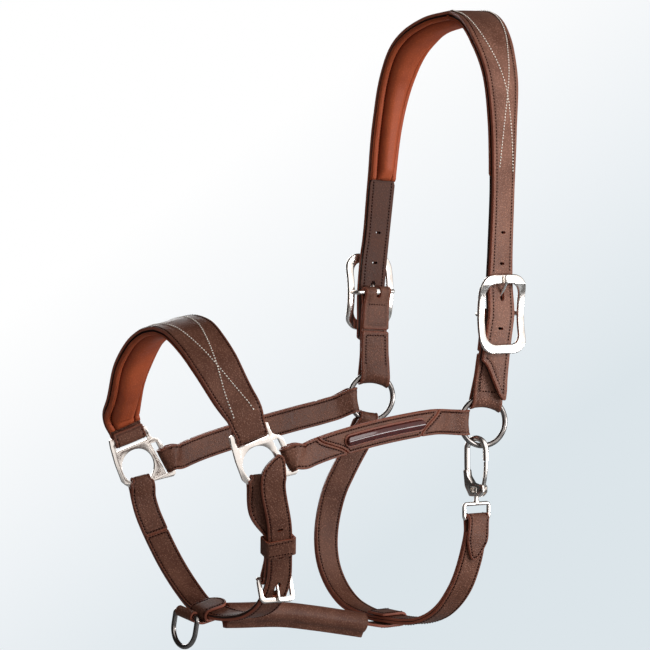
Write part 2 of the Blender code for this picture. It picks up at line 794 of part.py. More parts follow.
def make_fitting(side):
    """Cast plate: round hole, slot and bar above for the noseband, slot and bar behind for the cheek."""
    arc = [(FIT_RIM * math.cos(math.radians(a)), FIT_RIM * math.sin(math.radians(a)))
           for a in range(-62, -159, -12)]
    bar = TOP_BAR_V
    outline = [(24.6, -18.6), (27.0, -17.2), (27.7, -14.0), (24.6, 10.4), (22.6, 14.8), (19.2, 16.6),
               (17.4, 18.6), (17.0, bar - 2.2), (16.8, bar + 2.8), (15.2, bar + 4.2), (13.0, bar + 2.2),
               (-10.8, bar + 2.2), (-13.4, bar + 4.2), (-15.4, bar + 3.4), (-16.4, bar - 2.2), (-17.3, 8.0)]
    outline = arc + outline[::-1]
    bm = prism(outline, -PLATE / 2, PLATE / 2)
    circle = [(FIT_HOLE * math.cos(math.radians(a)), FIT_HOLE * math.sin(math.radians(a)))
              for a in range(0, 360, 12)]
    slot = bar - 1.6
    top = [(14.8, 18.0), (14.8, slot), (-12.8, slot), (-12.8, 18.0), (-11.6, 17.2), (13.6, 17.2)]
    rear = [(15.8, 13.0), (20.6, 12.6), (24.6, -14.8), (19.8, -14.2)]
    bm = cut_holes(bm, [circle, top, rear], -PLATE / 2, PLATE / 2)
    bevel_all(bm, 0.55, 1, 0.7)
    U, V = fit_axes()
    stand(bm, out(side, FIT_AT[side]), U, V, plane_out(side))
    finish("nose_fitting_" + SIDE[side], bm, nickel())


# noseband

NOSE_LINE = [
    (-281.2, 71.8, -283.0, -0.22, 0.86, 0.42),
    (-285.6, 53.8, -259.0, -0.22, 0.64, 0.72),
    (-286.6, 37.6, -245.0, -0.21, 0.34, 0.92),
    (-286.0, 20.0, -235.4, -0.20, 0.16, 0.96),
    (-285.4, 3.0, -232.0, -0.20, 0.0, 0.98),
]
NOSE_FAR_SHIFT = ((-1.5, 3.0, -7.0), (-1.0, 0.5, -2.5))
TAB_END = 7.0


def nose_tab(side):
    """From the sewn end inside, down and round the fitting's top bar, then up to the band."""
    V = fit_axes()[1]
    n = plane_out(side)
    bar = fit_point(side, 1.0, TOP_BAR_V)
    pts = [(bar + TAB_END * V - 1.3 * n, -n), (bar + 3.5 * V - 1.9 * n, -n)]
    pts += fold(bar, -n, -V, 2.6, 2.6)
    pts += [(bar + 8.0 * V + 2.2 * n, n), (bar + 17.0 * V + 2.4 * n, n)]
    return pts


def nose_route():
    near = nose_tab(-1) + [(out(-1, p[:3]), out(-1, p[3:])) for p in NOSE_LINE]
    far = []
    for i, p in enumerate(NOSE_LINE):
        shift = NOSE_FAR_SHIFT[i] if i < len(NOSE_FAR_SHIFT) else (0.0, 0.0, 0.0)
        far.append((out(1, [a + b for a, b in zip(p[:3], shift)]), out(1, p[3:])))
    route = Route(near + far[::-1] + nose_tab(1)[::-1])
    bar = fit_point(-1, 1.0, TOP_BAR_V)
    s0 = route.nearest(bar + (TAB_END + 2.0) * fit_axes()[1] + 2.2 * plane_out(-1), 16.0, 200.0)
    route.pad = (s0, route.length - s0)
    return route


def nose_widths(route):
    s = [route.nearest(out(-1, NOSE_LINE[k][:3])) for k in (0, 1, 3)]
    s = [0.0, s[0] - 34.0, s[0] - 20.0] + s
    halves = [TAB_HALF, TAB_HALF, 14.6, 17.2, 19.6, NOSE_HALF]
    near = list(zip(s, halves))
    return near + [(route.length - a, h) for a, h in reversed(near)]


def make_noseband():
    route = nose_route()
    widths = nose_widths(route)
    cuts = pad_cuts(route, 9.0, 16.0)
    outline = strip_outline(0.0, route.length, widths)
    strap("noseband_outer", route, outline, 0.0, LEATHER, leather_brown(), (), 0.5, lanes=PAD_LANES,
          extra=cuts, exact=True)
    outline = strip_outline(route.pad[0], route.pad[1], widths)
    strap("noseband_lining", route, outline, -GAP, -GAP - LINING, leather_lining(), lanes=PAD_LANES,
          extra=cuts, exact=True)
    make_pad("noseband", route, widths, NOSE_RISE, cuts)


# cheekpieces

CHEEK_LINE = {
    -1: [(-226.0, 88.6, -332.2, -0.24, 0.97, 0.0), (-207.0, 86.7, -327.6, -0.02, 1.0, 0.0),
         (-186.0, 85.6, -323.2, 0.03, 1.0, 0.0), (-150.0, 83.8, -317.4, 0.06, 1.0, 0.0),
         (-106.0, 79.8, -312.9, 0.05, 1.0, 0.0), (-88.0, 76.6, -312.3, 0.0, 1.0, 0.0),
         (-70.5, 72.0, -313.6, -0.24, 0.97, 0.0)],
    1: [(-229.5, 77.0, -343.4, 0.24, 0.97, 0.0), (-208.0, 80.8, -338.0, 0.05, 1.0, 0.0),
        (-186.0, 82.4, -333.0, 0.0, 1.0, 0.0), (-150.0, 82.7, -325.6, 0.0, 1.0, 0.0),
        (-106.0, 83.0, -317.6, 0.05, 1.0, 0.0), (-88.0, 82.9, -314.6, 0.08, 1.0, 0.0),
        (-69.0, 82.0, -310.6, 0.24, 0.97, 0.0)],
}
CHEEK_LEAN = {-1: math.radians(90.0), 1: math.radians(97.0)}
BAR_FOLD = 2.65
BORDER_HALF = 5.3
INLAY_HALF = 3.9


def cheek_middle(side):
    return [(out(side, p[:3]), unit(out(side, p[3:]))) for p in CHEEK_LINE[side]]


def cheek_route(side):
    """Wrap lying along the inside, folded outward round the fitting's side bar and the ring's wire."""
    n = plane_out(side)
    a, b = vec(*SIDE_BAR[0]), vec(*SIDE_BAR[1])
    mid = (a + b) / 2.0
    bar = fit_point(side, mid[0] + 0.4, mid[1] - 2.1)
    U, V = fit_axes()
    along_bar = unit((a[0] - b[0]) * U + (a[1] - b[1]) * V)
    rear = np.cross(along_bar, n)
    rear = rear * (1.0 if rear[0] > 0 else -1.0)
    front = ring_dir(-CHEEK_LEAN[side])
    wire = ring_centre(side) + RING_R * front
    mids = cheek_middle(side)
    face = Route([(p + (GAP / 2) * m, m) for p, m in mids], side)

    def layer(s, t, sign):
        return face.place(s, 0.0, t), sign * face.pick(face.N, s)

    ease = rear + unit(mids[0][0] - bar)
    ease = unit(ease - (ease @ n) * n)
    length = face.length
    pts = [layer(s, 0.0, 1.0) for s in (42.0, 30.0, 20.0, 10.0, 1.0)]
    pts += [(bar + 5.8 * ease + 2.6 * n, n)]
    pts += fold(bar, n, -rear, BAR_FOLD, BAR_FOLD)
    pts += [(bar + 5.8 * ease - 2.75 * n, -n)]
    pts += [layer(s, -GAP, -1.0) for s in np.linspace(1.0, length - 1.0, 16)]
    pts += fold(wire, -n, -front, 2.8, LOOP_SMALL)
    pts += [layer(length - s, 0.0, 1.0) for s in (1.0, 10.0, 20.0, 30.0, 38.0)]
    return Route(pts, side), face, bar, wire, front, rear


def flap_edge(length, slope, steps=8):
    """Curved end of a sewn flap: how far it reaches at each place across the strap."""
    pts = []
    for k in range(steps + 1):
        f = k / steps
        ease = f * f * (3.0 - 2.0 * f)
        pts.append((slope * (ease - 0.5) * length, (2.0 * f - 1.0) * SMALL_HALF))
    return pts


FLAP_SWEEP = {"fitting": 26.0, "ring": 20.0}


def make_cheekpiece(side):
    route, face, bar, wire, front, rear = cheek_route(side)
    s_bar = route.nearest(bar - BAR_FOLD * rear)
    s_ring = route.nearest(wire - LOOP_SMALL * front, s_bar + 60.0)
    low = -1.0 if route.place(s_bar - 20.0, 5.0, 0.0)[2] > route.place(s_bar - 20.0, -5.0, 0.0)[2] else 1.0
    first = [(13.0 - ds, w) for ds, w in flap_edge(FLAP_SWEEP["fitting"], low)]
    low_end = -1.0 if route.place(s_ring + 25.0, 5.0, 0.0)[2] > route.place(s_ring + 25.0, -5.0, 0.0)[2] else 1.0
    last = [(route.length - 10.0 + ds, w) for ds, w in flap_edge(FLAP_SWEEP["ring"], low_end)]
    outline = first[::-1] + last
    strap("cheekpiece_back_" + SIDE[side], route, outline, 0.0, LEATHER, leather_brown(), (), 0.4,
          [(s_ring, SADDLE_SMALL, 5.5, 12.0, -front)], (0.0,), 20.0, 24.0, matched(route, face))
    up = 1.0 if face.place(80.0, 5.0, 0.0)[2] > face.place(80.0, -5.0, 0.0)[2] else -1.0
    start = face.nearest(route.place(13.0, 0.0, 0.0))
    end = face.nearest(route.place(route.length - 10.0, 0.0, 0.0))
    first = [(start + 1.0 + ds, w) for ds, w in flap_edge(FLAP_SWEEP["fitting"], -up)]
    last = [(end - 1.0 - ds, w) for ds, w in flap_edge(FLAP_SWEEP["ring"], -up)]
    strap("cheekpiece_face_" + SIDE[side], face, first[::-1] + last, 0.0, LEATHER, leather_brown(), (), 0.4,
          turn=7.0)
    s0 = face.nearest(out(side, (-187.0, 85.0, CHEEK_LINE[side][2][2])))
    s1 = face.nearest(out(side, (-104.5, 80.0, CHEEK_LINE[side][4][2])))
    low_t = LEATHER + GAP
    strap("cheekpiece_border_" + SIDE[side], face, strip_outline(s0, s1, BORDER_HALF, "round", "round"),
          low_t, low_t + 0.8, leather_rust(), turn=7.0)
    low_t += 0.8 + GAP
    gap = BORDER_HALF - INLAY_HALF
    strap("cheekpiece_inlay_" + SIDE[side], face,
          strip_outline(s0 + gap, s1 - gap, INLAY_HALF, "round", "round"), low_t, low_t + 1.5, leather_patent(),
          (), 0.6, turn=7.0)


# chin strap, its near chape, buckle and keeper

CHIN_LINING = 1.8
CHIN_FAR = [
    (-262.0, 79.6, -374.0, 0.27, 0.96, -0.04), (-260.4, 76.2, -386.0, 0.30, 0.93, -0.16),
    (-257.4, 68.0, -402.5, 0.34, 0.88, -0.32), (-254.6, 51.0, -425.0, 0.34, 0.72, -0.60),
    (-252.6, 31.0, -443.8, 0.30, 0.42, -0.86), (-252.8, 12.5, -454.6, 0.22, 0.16, -0.96),
    (-251.8, 0.0, -456.8, 0.22, 0.14, -0.96),
]
CHIN_NEAR = [
    (-250.8, 12.5, -459.0, 0.22, -0.14, -0.96), (-246.0, 28.0, -460.0, 0.12, 0.10, -0.99),
    (-241.6, 42.0, -457.6, 0.04, 0.34, -0.94), (-238.2, 53.2, -451.8, -0.05, 0.62, -0.78),
    (-235.7, 60.6, -443.0, -0.14, 0.86, -0.48), (-235.9, 69.0, -428.0, -0.20, 0.96, -0.20),
    (-239.4, 75.4, -411.0, -0.24, 0.94, 0.24), (-245.0, 82.8, -386.0, -0.26, 0.94, 0.20),
]
CHIN_HOLES = (-386.0, -411.0)
HEEL_AT = (-234.6, 61.2, -428.0)
CHIN_CHAPE_LINE = [(-262.4, 81.4, -361.5, -0.26, 0.96, 0.0), (-259.0, 79.0, -373.0, -0.26, 0.96, 0.10)]
UNDER_BILLET = 0.6 + 2 * GAP + CHIN_LINING + LEATHER + GAP / 2
RIM_NEAR = (0.06, -0.998)
RIM_FAR = (0.20, -0.98)
RIM_SEAT = 12.8
RIM_REACH = 2.7
RIM_WAIST = 7.6


def rim_fold(side, aim, out_first):
    """Fold of a chin strap over the fitting's round rim, as seen from the hole."""
    n = plane_out(side)
    d = unit(aim[0] * rear_dir() + aim[1] * vec(0, 0, 1))
    centre = out(side, FIT_AT[side]) + RIM_SEAT * d
    first = n if out_first else -n
    pts = [(centre + 5.4 * d + 2.05 * first, first), (centre + 2.0 * d + 2.2 * first, first)]
    pts += fold(centre, first, -d, 2.15, RIM_REACH)
    pts += [(centre + 2.0 * d - 2.2 * first, -first), (centre + 5.4 * d - 2.05 * first, -first)]
    return pts, centre, d


def waisted(route, s_fold):
    """Strap widths with the waist that lets the fold sit inside the fitting's round hole."""
    return [(0.0, SMALL_HALF), (s_fold - 4.4, SMALL_HALF), (s_fold - 3.0, RIM_WAIST),
            (s_fold + 3.0, RIM_WAIST), (s_fold + 4.4, SMALL_HALF), (route.length, SMALL_HALF)]


def chin_route():
    fold_pts, centre, d = rim_fold(1, RIM_FAR, False)
    far = [(out(1, p[:3]), unit(out(1, p[3:]))) for p in CHIN_FAR]
    pts = [(p - (GAP / 2) * m, -m) for p, m in reversed(far[:3])]
    pts += fold_pts
    pts += [(p + (GAP / 2) * m, m) for p, m in far]
    near = [(out(-1, p[:3]), unit(out(-1, p[3:]))) for p in CHIN_NEAR]
    pts += near
    n = plane_out(-1)
    pts += [(fit_point(-1, 2.9, -16.0, 8.4), n), (fit_point(-1, 13.4, -1.2, 8.4), n),
            (fit_point(-1, 15.0, 2.4, 8.4), n)]
    return Route(pts)


def make_chin():
    route = chin_route()
    s_turn = route.nearest(out(1, CHIN_FAR[0][:3]), 40.0)
    holes = []
    for z in CHIN_HOLES:
        s = route.nearest(out(-1, (-240.0, 80.0, z)), s_turn + 120.0)
        holes.append([(s + y, x) for x, y in slot_points(0.0, 5.0, 1.0)])
    bar = out(-1, HEEL_AT)
    s_heel = route.nearest(bar + 7.0 * vec(-0.2, -0.96, -0.2), s_turn + 100.0)
    tongue = slot_points(s_heel - 6.5, 13.0, SLIT_HALF)
    centre, d = rim_fold(1, RIM_FAR, False)[1:]
    s_fold = route.nearest(centre - RIM_REACH * d)
    outline = strip_outline(0.0, route.length, waisted(route, s_fold), "square", "point")
    strap("chin_strap_outer", route, outline, 0.0, LEATHER, leather_brown(), holes + [tongue], 0.4,
          longest=10.0)
    s0 = route.nearest(out(1, CHIN_FAR[2][:3]), s_turn) + 0.8
    tongue = slot_points(s_heel - 4.0, 13.0, SLIT_HALF)
    outline = strip_outline(s0, route.length, SMALL_HALF, "square", "point")
    strap("chin_strap_lining", route, outline, -GAP, -GAP - CHIN_LINING, leather_lining(),
          holes + [tongue], longest=10.0)
    return route


def heel_axes():
    """Directions at the near chin buckle: bar, down the frame, outward."""
    down = unit(vec(-0.06, -0.36, -0.93))
    face = unit(out(-1, (-0.22, 0.93, -0.20)))
    bar = unit(np.cross(down, face))
    return bar, down, np.cross(bar, down)


def chin_chape_middle(route):
    """Middle of the doubled chape: free at the rim, then close under the billet down to the buckle."""
    mids = [(out(-1, p[:3]), unit(out(-1, p[3:]))) for p in CHIN_CHAPE_LINE]
    for z in (-391.0, -404.0, -416.0):
        s = route.nearest(out(-1, (-241.0, 78.0, z)), 200.0)
        n = route.pick(route.N, s)
        mids.append((route.pick(route.P, s) - UNDER_BILLET * n, n))
    return mids


def chin_chape_route(chin):
    fold_pts, centre, d = rim_fold(-1, RIM_NEAR, True)
    bar = out(-1, HEEL_AT)
    mids = chin_chape_middle(chin)
    b = heel_axes()[0]
    t = bar - mids[-1][0]
    t = unit(t - (t @ b) * b)
    n = np.cross(t, b)
    n = n if n @ mids[-1][1] > 0 else -n
    pts = [(p - CHAPE_SPLIT * m, -m) for p, m in reversed(mids[1:4])]
    pts += fold_pts[::-1]
    pts += [(p + CHAPE_SPLIT * m, m) for p, m in mids[1:]]
    pts += fold(bar, n, t, BAR_R + 0.65, BAR_R + 0.65)
    p, m = mids[-1]
    pts += [(p - CHAPE_SPLIT * m, -m), (0.5 * (p + mids[-2][0]) - CHAPE_SPLIT * m, -m)]
    return Route(pts), bar, t, centre - RIM_REACH * d


def make_chin_chape(chin):
    route, bar, t, rim = chin_chape_route(chin)
    s_bar = route.nearest(bar + (BAR_R + 0.65) * t, 60.0)
    hole = slot_points(s_bar, 16.0, SLIT_HALF)
    outline = strip_outline(0.0, route.length, waisted(route, route.nearest(rim)))
    strap("chin_chape", route, outline, 0.0, LEATHER, leather_brown(), [hole], 0.4, turn=16.0,
          longest=8.0, extra=paired(route, 16.0))


def make_chin_buckle():
    """Heel-bar buckle, drawn with x along the bar, y down the frame, z outward."""
    outline = rounded_box(14.5, 10.6, 4.6, 5)
    inner = rounded_box(11.3, 9.4, 2.2, 4)
    bm = prism([(x, y + 8.8) for x, y in outline], -1.6, 1.6)
    bm = cut_holes(bm, [[(x, y + 6.3) for x, y in inner]], -1.6, 1.6)
    cut = [(-20.0, -4.0), (20.0, -4.0), (20.0, -0.6), (-20.0, -0.6)]
    bm = cut_holes(bm, [cut], -3.0, 3.0)
    bevel_all(bm, 0.6, 1, 0.9)
    bm = boolean(bm, sweep([vec(-13.9, 0.6, 0), vec(-13.1, 0, 0), vec(0, 0, 0), vec(13.1, 0, 0),
                            vec(13.9, 0.6, 0)], BAR_R, 12, up=vec(0, 0, 1)), "UNION")
    b, down, face = heel_axes()
    at = out(-1, HEEL_AT)
    stand(bm, at, b, down, face)
    finish("chin_buckle", bm, nickel(), at)
    line = smooth_line([(0.0, 0.0, 3.3), (0.0, 4.0, 3.5), (0.0, 8.0, 3.9), (0.0, 13.0, 3.9), (0.0, 19.6, 3.1)], 3)
    bm = sweep(line, [1.25] * (len(line) - 1) + [0.95], 8, up=vec(1, 0, 0), flat=1.15)
    bm = boolean(tongue_eye(BAR_R + 0.2, 3.4, 3.0), bm, "UNION")
    stand(bm, at, b, down, face)
    finish("chin_tongue", bm, nickel(), at)


def make_keeper(route):
    s = route.nearest(out(-1, (-241.0, 79.0, -402.0)), 200.0)
    base = route.pick(route.P, s)
    T, N, W = (route.pick(a, s) for a in (route.T, route.N, route.W))
    low = -UNDER_BILLET - CHAPE_SPLIT - LEATHER
    mid = (LEATHER + low) / 2.0
    half = (LEATHER - low) / 2.0 + 0.75
    centre = base + mid * N
    bm = prism(rounded_box(SMALL_HALF + 2.7, half + 1.8, 3.0, 4), -7.0, 7.0)
    bm = cut_holes(bm, [rounded_box(SMALL_HALF + 0.9, half, 1.4, 3)], -7.0, 7.0)
    bevel_all(bm, 0.35, 1, 1.2)
    stand(bm, centre, W, N, T)
    finish("chin_keeper", bm, leather_brown(), centre)


# jaw strap: loops round the chin strap and the throat strap, and runs through the rolled tube

def junction_axes():
    """At the chin strap's lowest stretch: along it to the near side, down off its outer face, forward."""
    a = out(1, CHIN_FAR[5][:3])
    b = out(-1, CHIN_NEAR[0][:3])
    along = unit(b - a)
    down = vec(0.22, 0.0, -0.96)
    down = unit(down - (down @ along) * along)
    front = -np.cross(along, down)
    return out(1, CHIN_FAR[6][:3]), along, down, front


THROAT_MID = (-80.0, 0.0, -475.6)
THROAT_ALONG = (0.12, -0.99, -0.06)


def throat_axes():
    along = unit(vec(*THROAT_ALONG))
    down = vec(0.0, 0.0, -1.0)
    down = unit(down - (down @ along) * along)
    return vec(*THROAT_MID), along, down, np.cross(along, down)


def jaw_route():
    centre, along, down, front = junction_axes()
    centre = centre + 0.2 * down
    half = 3.1
    edge = centre + 8.4 * front
    pts = [(centre - 13.0 * front - half * down, -down), (centre - 2.0 * front - half * down, -down)]
    pts += fold(edge, -down, front, half, half + 0.2)
    pts += [(centre - 2.0 * front + half * down, down), (centre - 11.0 * front + half * down, down)]
    for x, z in JAW_LINE[1:-1]:
        pts.append((vec(x, 0.0, z), vec(0.08, 0.0, -1.0)))
    centre2, along2, down2, rear2 = throat_axes()
    centre2 = centre2 + 0.1 * down2
    half = 3.6
    edge2 = centre2 + 8.0 * rear2
    pts += [(centre2 - 9.0 * rear2 + half * down2, down2), (centre2 + half * down2, down2)]
    pts += fold(edge2, down2, rear2, half, half)
    pts += [(centre2 - half * down2, -down2), (centre2 - 13.0 * rear2 - half * down2, -down2)]
    return Route(pts)


JAW_LINE = [(-238.0, -460.4), (-225.0, -461.2), (-185.0, -463.4), (-152.0, -468.6), (-118.0, -475.0),
            (-104.5, -477.6)]
ROLL_R = 8.4
ROLL_WALL = 1.7


def make_jaw():
    route = jaw_route()
    s0 = route.nearest((JAW_LINE[0][0], 0.0, JAW_LINE[0][1]))
    s1 = route.nearest((JAW_LINE[-1][0], 0.0, JAW_LINE[-1][1]), s0 + 60.0)
    narrow = 4.4
    widths = [(0.0, SMALL_HALF), (s0 - 9.0, SMALL_HALF), (s0 - 2.5, narrow), (s1 + 2.5, narrow),
              (s1 + 9.0, SMALL_HALF), (route.length, SMALL_HALF)]
    outline = strip_outline(0.0, route.length, widths, "round", "square")
    strap("jaw_loop_strap", route, outline, 0.0, LEATHER, leather_brown(), (), 0.4)
    roll = Route([(vec(x, 0.0, z - 0.6), vec(0.0, 0.0, 1.0)) for x, z in JAW_LINE])
    count = 18
    section = []
    for k in range(count + 1):
        a = math.radians(-62.0 + 304.0 * k / count)
        section.append((ROLL_R * math.cos(a), ROLL_R * math.sin(a)))
    seam = [(-2.4, -ROLL_R - 3.2), (2.4, -ROLL_R - 3.2)]
    outside = section + seam
    inside = []
    for k in range(count + 1):
        a = math.radians(-80.0 + 340.0 * k / count)
        inside.append(((ROLL_R - ROLL_WALL) * math.cos(a), (ROLL_R - ROLL_WALL) * math.sin(a)))
    cuts = [0.0] + route_cuts(roll) + [roll.length]
    bm = prism(outside, 0.0, roll.length)
    bm = cut_holes(bm, [inside], 0.0, roll.length)
    for s in cuts[1:-1]:
        geom = bm.verts[:] + bm.edges[:] + bm.faces[:]
        bmesh.ops.bisect_plane(bm, geom=geom, plane_co=(0, 0, s), plane_no=(0, 0, 1), dist=0.02)
    for v in bm.verts:
        x, y, s = v.co
        v.co = Vector(roll.place(s, x, y))
    finish("jaw_roll", bm, leather_brown())


def route_cuts(route):
    count = 6
    return [route.length * k / count for k in range(1, count)]


# lead ring and its holder under the chin

def make_lead_ring():
    centre, along, down, front = junction_axes()
    turn = math.radians(1.0)
    bar_dir = unit(math.cos(turn) * along + math.sin(turn) * front)
    fwd = unit(np.cross(down, bar_dir))
    fwd = fwd * (1.0 if fwd[0] < 0 else -1.0)
    bar = centre + 20.6 * front - 1.6 * down - 4.0 * along
    inner = 2.45
    low = 5.9
    pts = [(centre - 8.0 * front + low * down - 4.0 * along, -down),
           (centre + 6.0 * front + low * down - 4.0 * along, -down),
           (centre + 13.5 * front + (low - 0.6) * down - 4.0 * along, -down)]
    pts += fold(bar, down, fwd, inner, inner, 30.0, 250.0, 10)
    route = Route([(p, n if i > 2 else -n) for i, (p, n) in enumerate(pts)])
    strap("lead_ring_loop", route, strip_outline(0.0, route.length, SMALL_HALF), 0.0, 1.8, leather_brown(),
          (), 0.3)
    half = 13.8
    hang = unit(vec(-0.05, 0.0, -1.0) - (vec(-0.05, 0.0, -1.0) @ bar_dir) * bar_dir)
    line = [(-half + 3.2, 0.0), (0.0, 0.0), (half - 3.2, 0.0), (half - 0.95, 0.95), (half, 3.2), (half, 8.0)]
    for k in range(1, 12):
        a = math.pi * k / 12.0
        line.append((half * math.cos(a), 12.0 + half * 1.04 * math.sin(a)))
    line += [(-half, 8.0), (-half, 3.2), (-half + 0.95, 0.95)]
    pts = [bar + x * bar_dir + y * hang for x, y in line]
    bm = sweep(pts, 2.0, 10, True, up=np.cross(bar_dir, hang))
    finish("lead_ring", bm, ring_steel(), bar)


# throat strap and snap hook

THROAT_FAR = [
    (-47.4, 77.8, -335.0, 0.28, 0.96, 0.0), (-59.0, 78.9, -353.0, 0.38, 0.92, 0.0),
    (-75.5, 78.0, -380.0, 0.40, 0.91, -0.05), (-85.5, 75.0, -410.0, 0.18, 0.96, -0.15),
    (-88.6, 69.0, -434.0, 0.05, 0.92, -0.38), (-88.0, 58.0, -453.0, 0.0, 0.74, -0.67),
    (-86.0, 40.0, -467.5, 0.0, 0.42, -0.90), (-81.8, 14.0, -474.7, 0.0, 0.06, -1.0),
]
THROAT_NEAR = [
    (-78.2, 14.0, -475.8, 0.0, -0.04, -1.0), (-72.0, 34.0, -475.4, 0.0, 0.18, -0.98),
    (-65.0, 53.0, -467.0, -0.05, 0.52, -0.85), (-58.4, 67.6, -448.0, -0.15, 0.82, -0.54),
    (-52.3, 73.8, -424.0, -0.10, 0.97, -0.20), (-48.3, 75.4, -402.0, 0.0, 1.0, 0.0),
]
SNAP_LEAN = math.radians(17.0)
SNAP_TURN = math.radians(55.0)
EYE_DROP = 58.6
EYE_WIRE = 1.6


def snap_axes():
    h = rear_dir()
    n = plane_out(-1)
    p = math.cos(SNAP_TURN) * h + math.sin(SNAP_TURN) * n
    z = vec(0, 0, 1)
    at = ring_centre(-1) + RING_R * ring_dir(math.pi + SNAP_LEAN)
    return at, p, z, np.cross(z, p)


def throat_route():
    n = plane_out(1)
    away = ring_dir(math.pi + THROAT_LEAN)
    wire = ring_centre(1) + RING_R * away
    far = [(out(1, p[:3]), unit(out(1, p[3:]))) for p in THROAT_FAR]
    near = [(out(-1, p[:3]), unit(out(-1, p[3:]))) for p in THROAT_NEAR]
    face = Route([(p + (GAP / 2) * m, m) for p, m in far[1:] + near])
    length = face.length
    over = LEATHER + 0.8

    def layer(s, t, sign):
        return face.place(s, 0.0, t), sign * face.pick(face.N, s)

    pts = [layer(s, over, 1.0) for s in (20.0, 12.0, 5.0)]
    pts += fold(wire, n, -away, 2.8, LOOP_SMALL)
    pts += [(far[0][0] - (GAP / 2) * far[0][1], -far[0][1])]
    pts += [layer(s, -GAP - 0.15, -1.0) for s in np.linspace(1.0, length - 1.0, 24)]
    at, p_dir, z, q = snap_axes()
    eye = at - EYE_DROP * z
    inward = vec(0.0, 1.0, 0.0)
    pts += fold(eye, inward, z, EYE_WIRE + 0.5, EYE_WIRE + 0.5)
    pts += [layer(length - s, over, 1.0) for s in (1.5, 8.0, 15.0, 22.0)]
    return Route(pts, -1.0), face, wire, away


def make_throat():
    route, face, wire, away = throat_route()
    s_ring = route.nearest(wire - LOOP_SMALL * away)
    widths = [(0.0, SMALL_HALF), (s_ring - 10.0, SMALL_HALF), (s_ring - 6.0, THROAT_WAIST),
              (s_ring + 6.0, THROAT_WAIST), (s_ring + 10.0, SMALL_HALF), (route.length, SMALL_HALF)]
    outline = strip_outline(0.0, route.length, widths, "point", "point")
    strap("throat_strap_lining", route, outline, 0.0, LEATHER, leather_brown(), (), 0.4,
          [(s_ring, SADDLE_SMALL, 5.5, 12.0, -away)], (0.0,), 20.0, 24.0, matched(route, face, 3.2))
    strap("throat_strap_outer", face, strip_outline(4.0, face.length - 0.5, SMALL_HALF), 0.0, LEATHER, leather_brown(),
          (), 0.4, lanes=(0.0,), turn=7.0)


THROAT_WAIST = 7.6
HINGE = (6.0, -35.5)


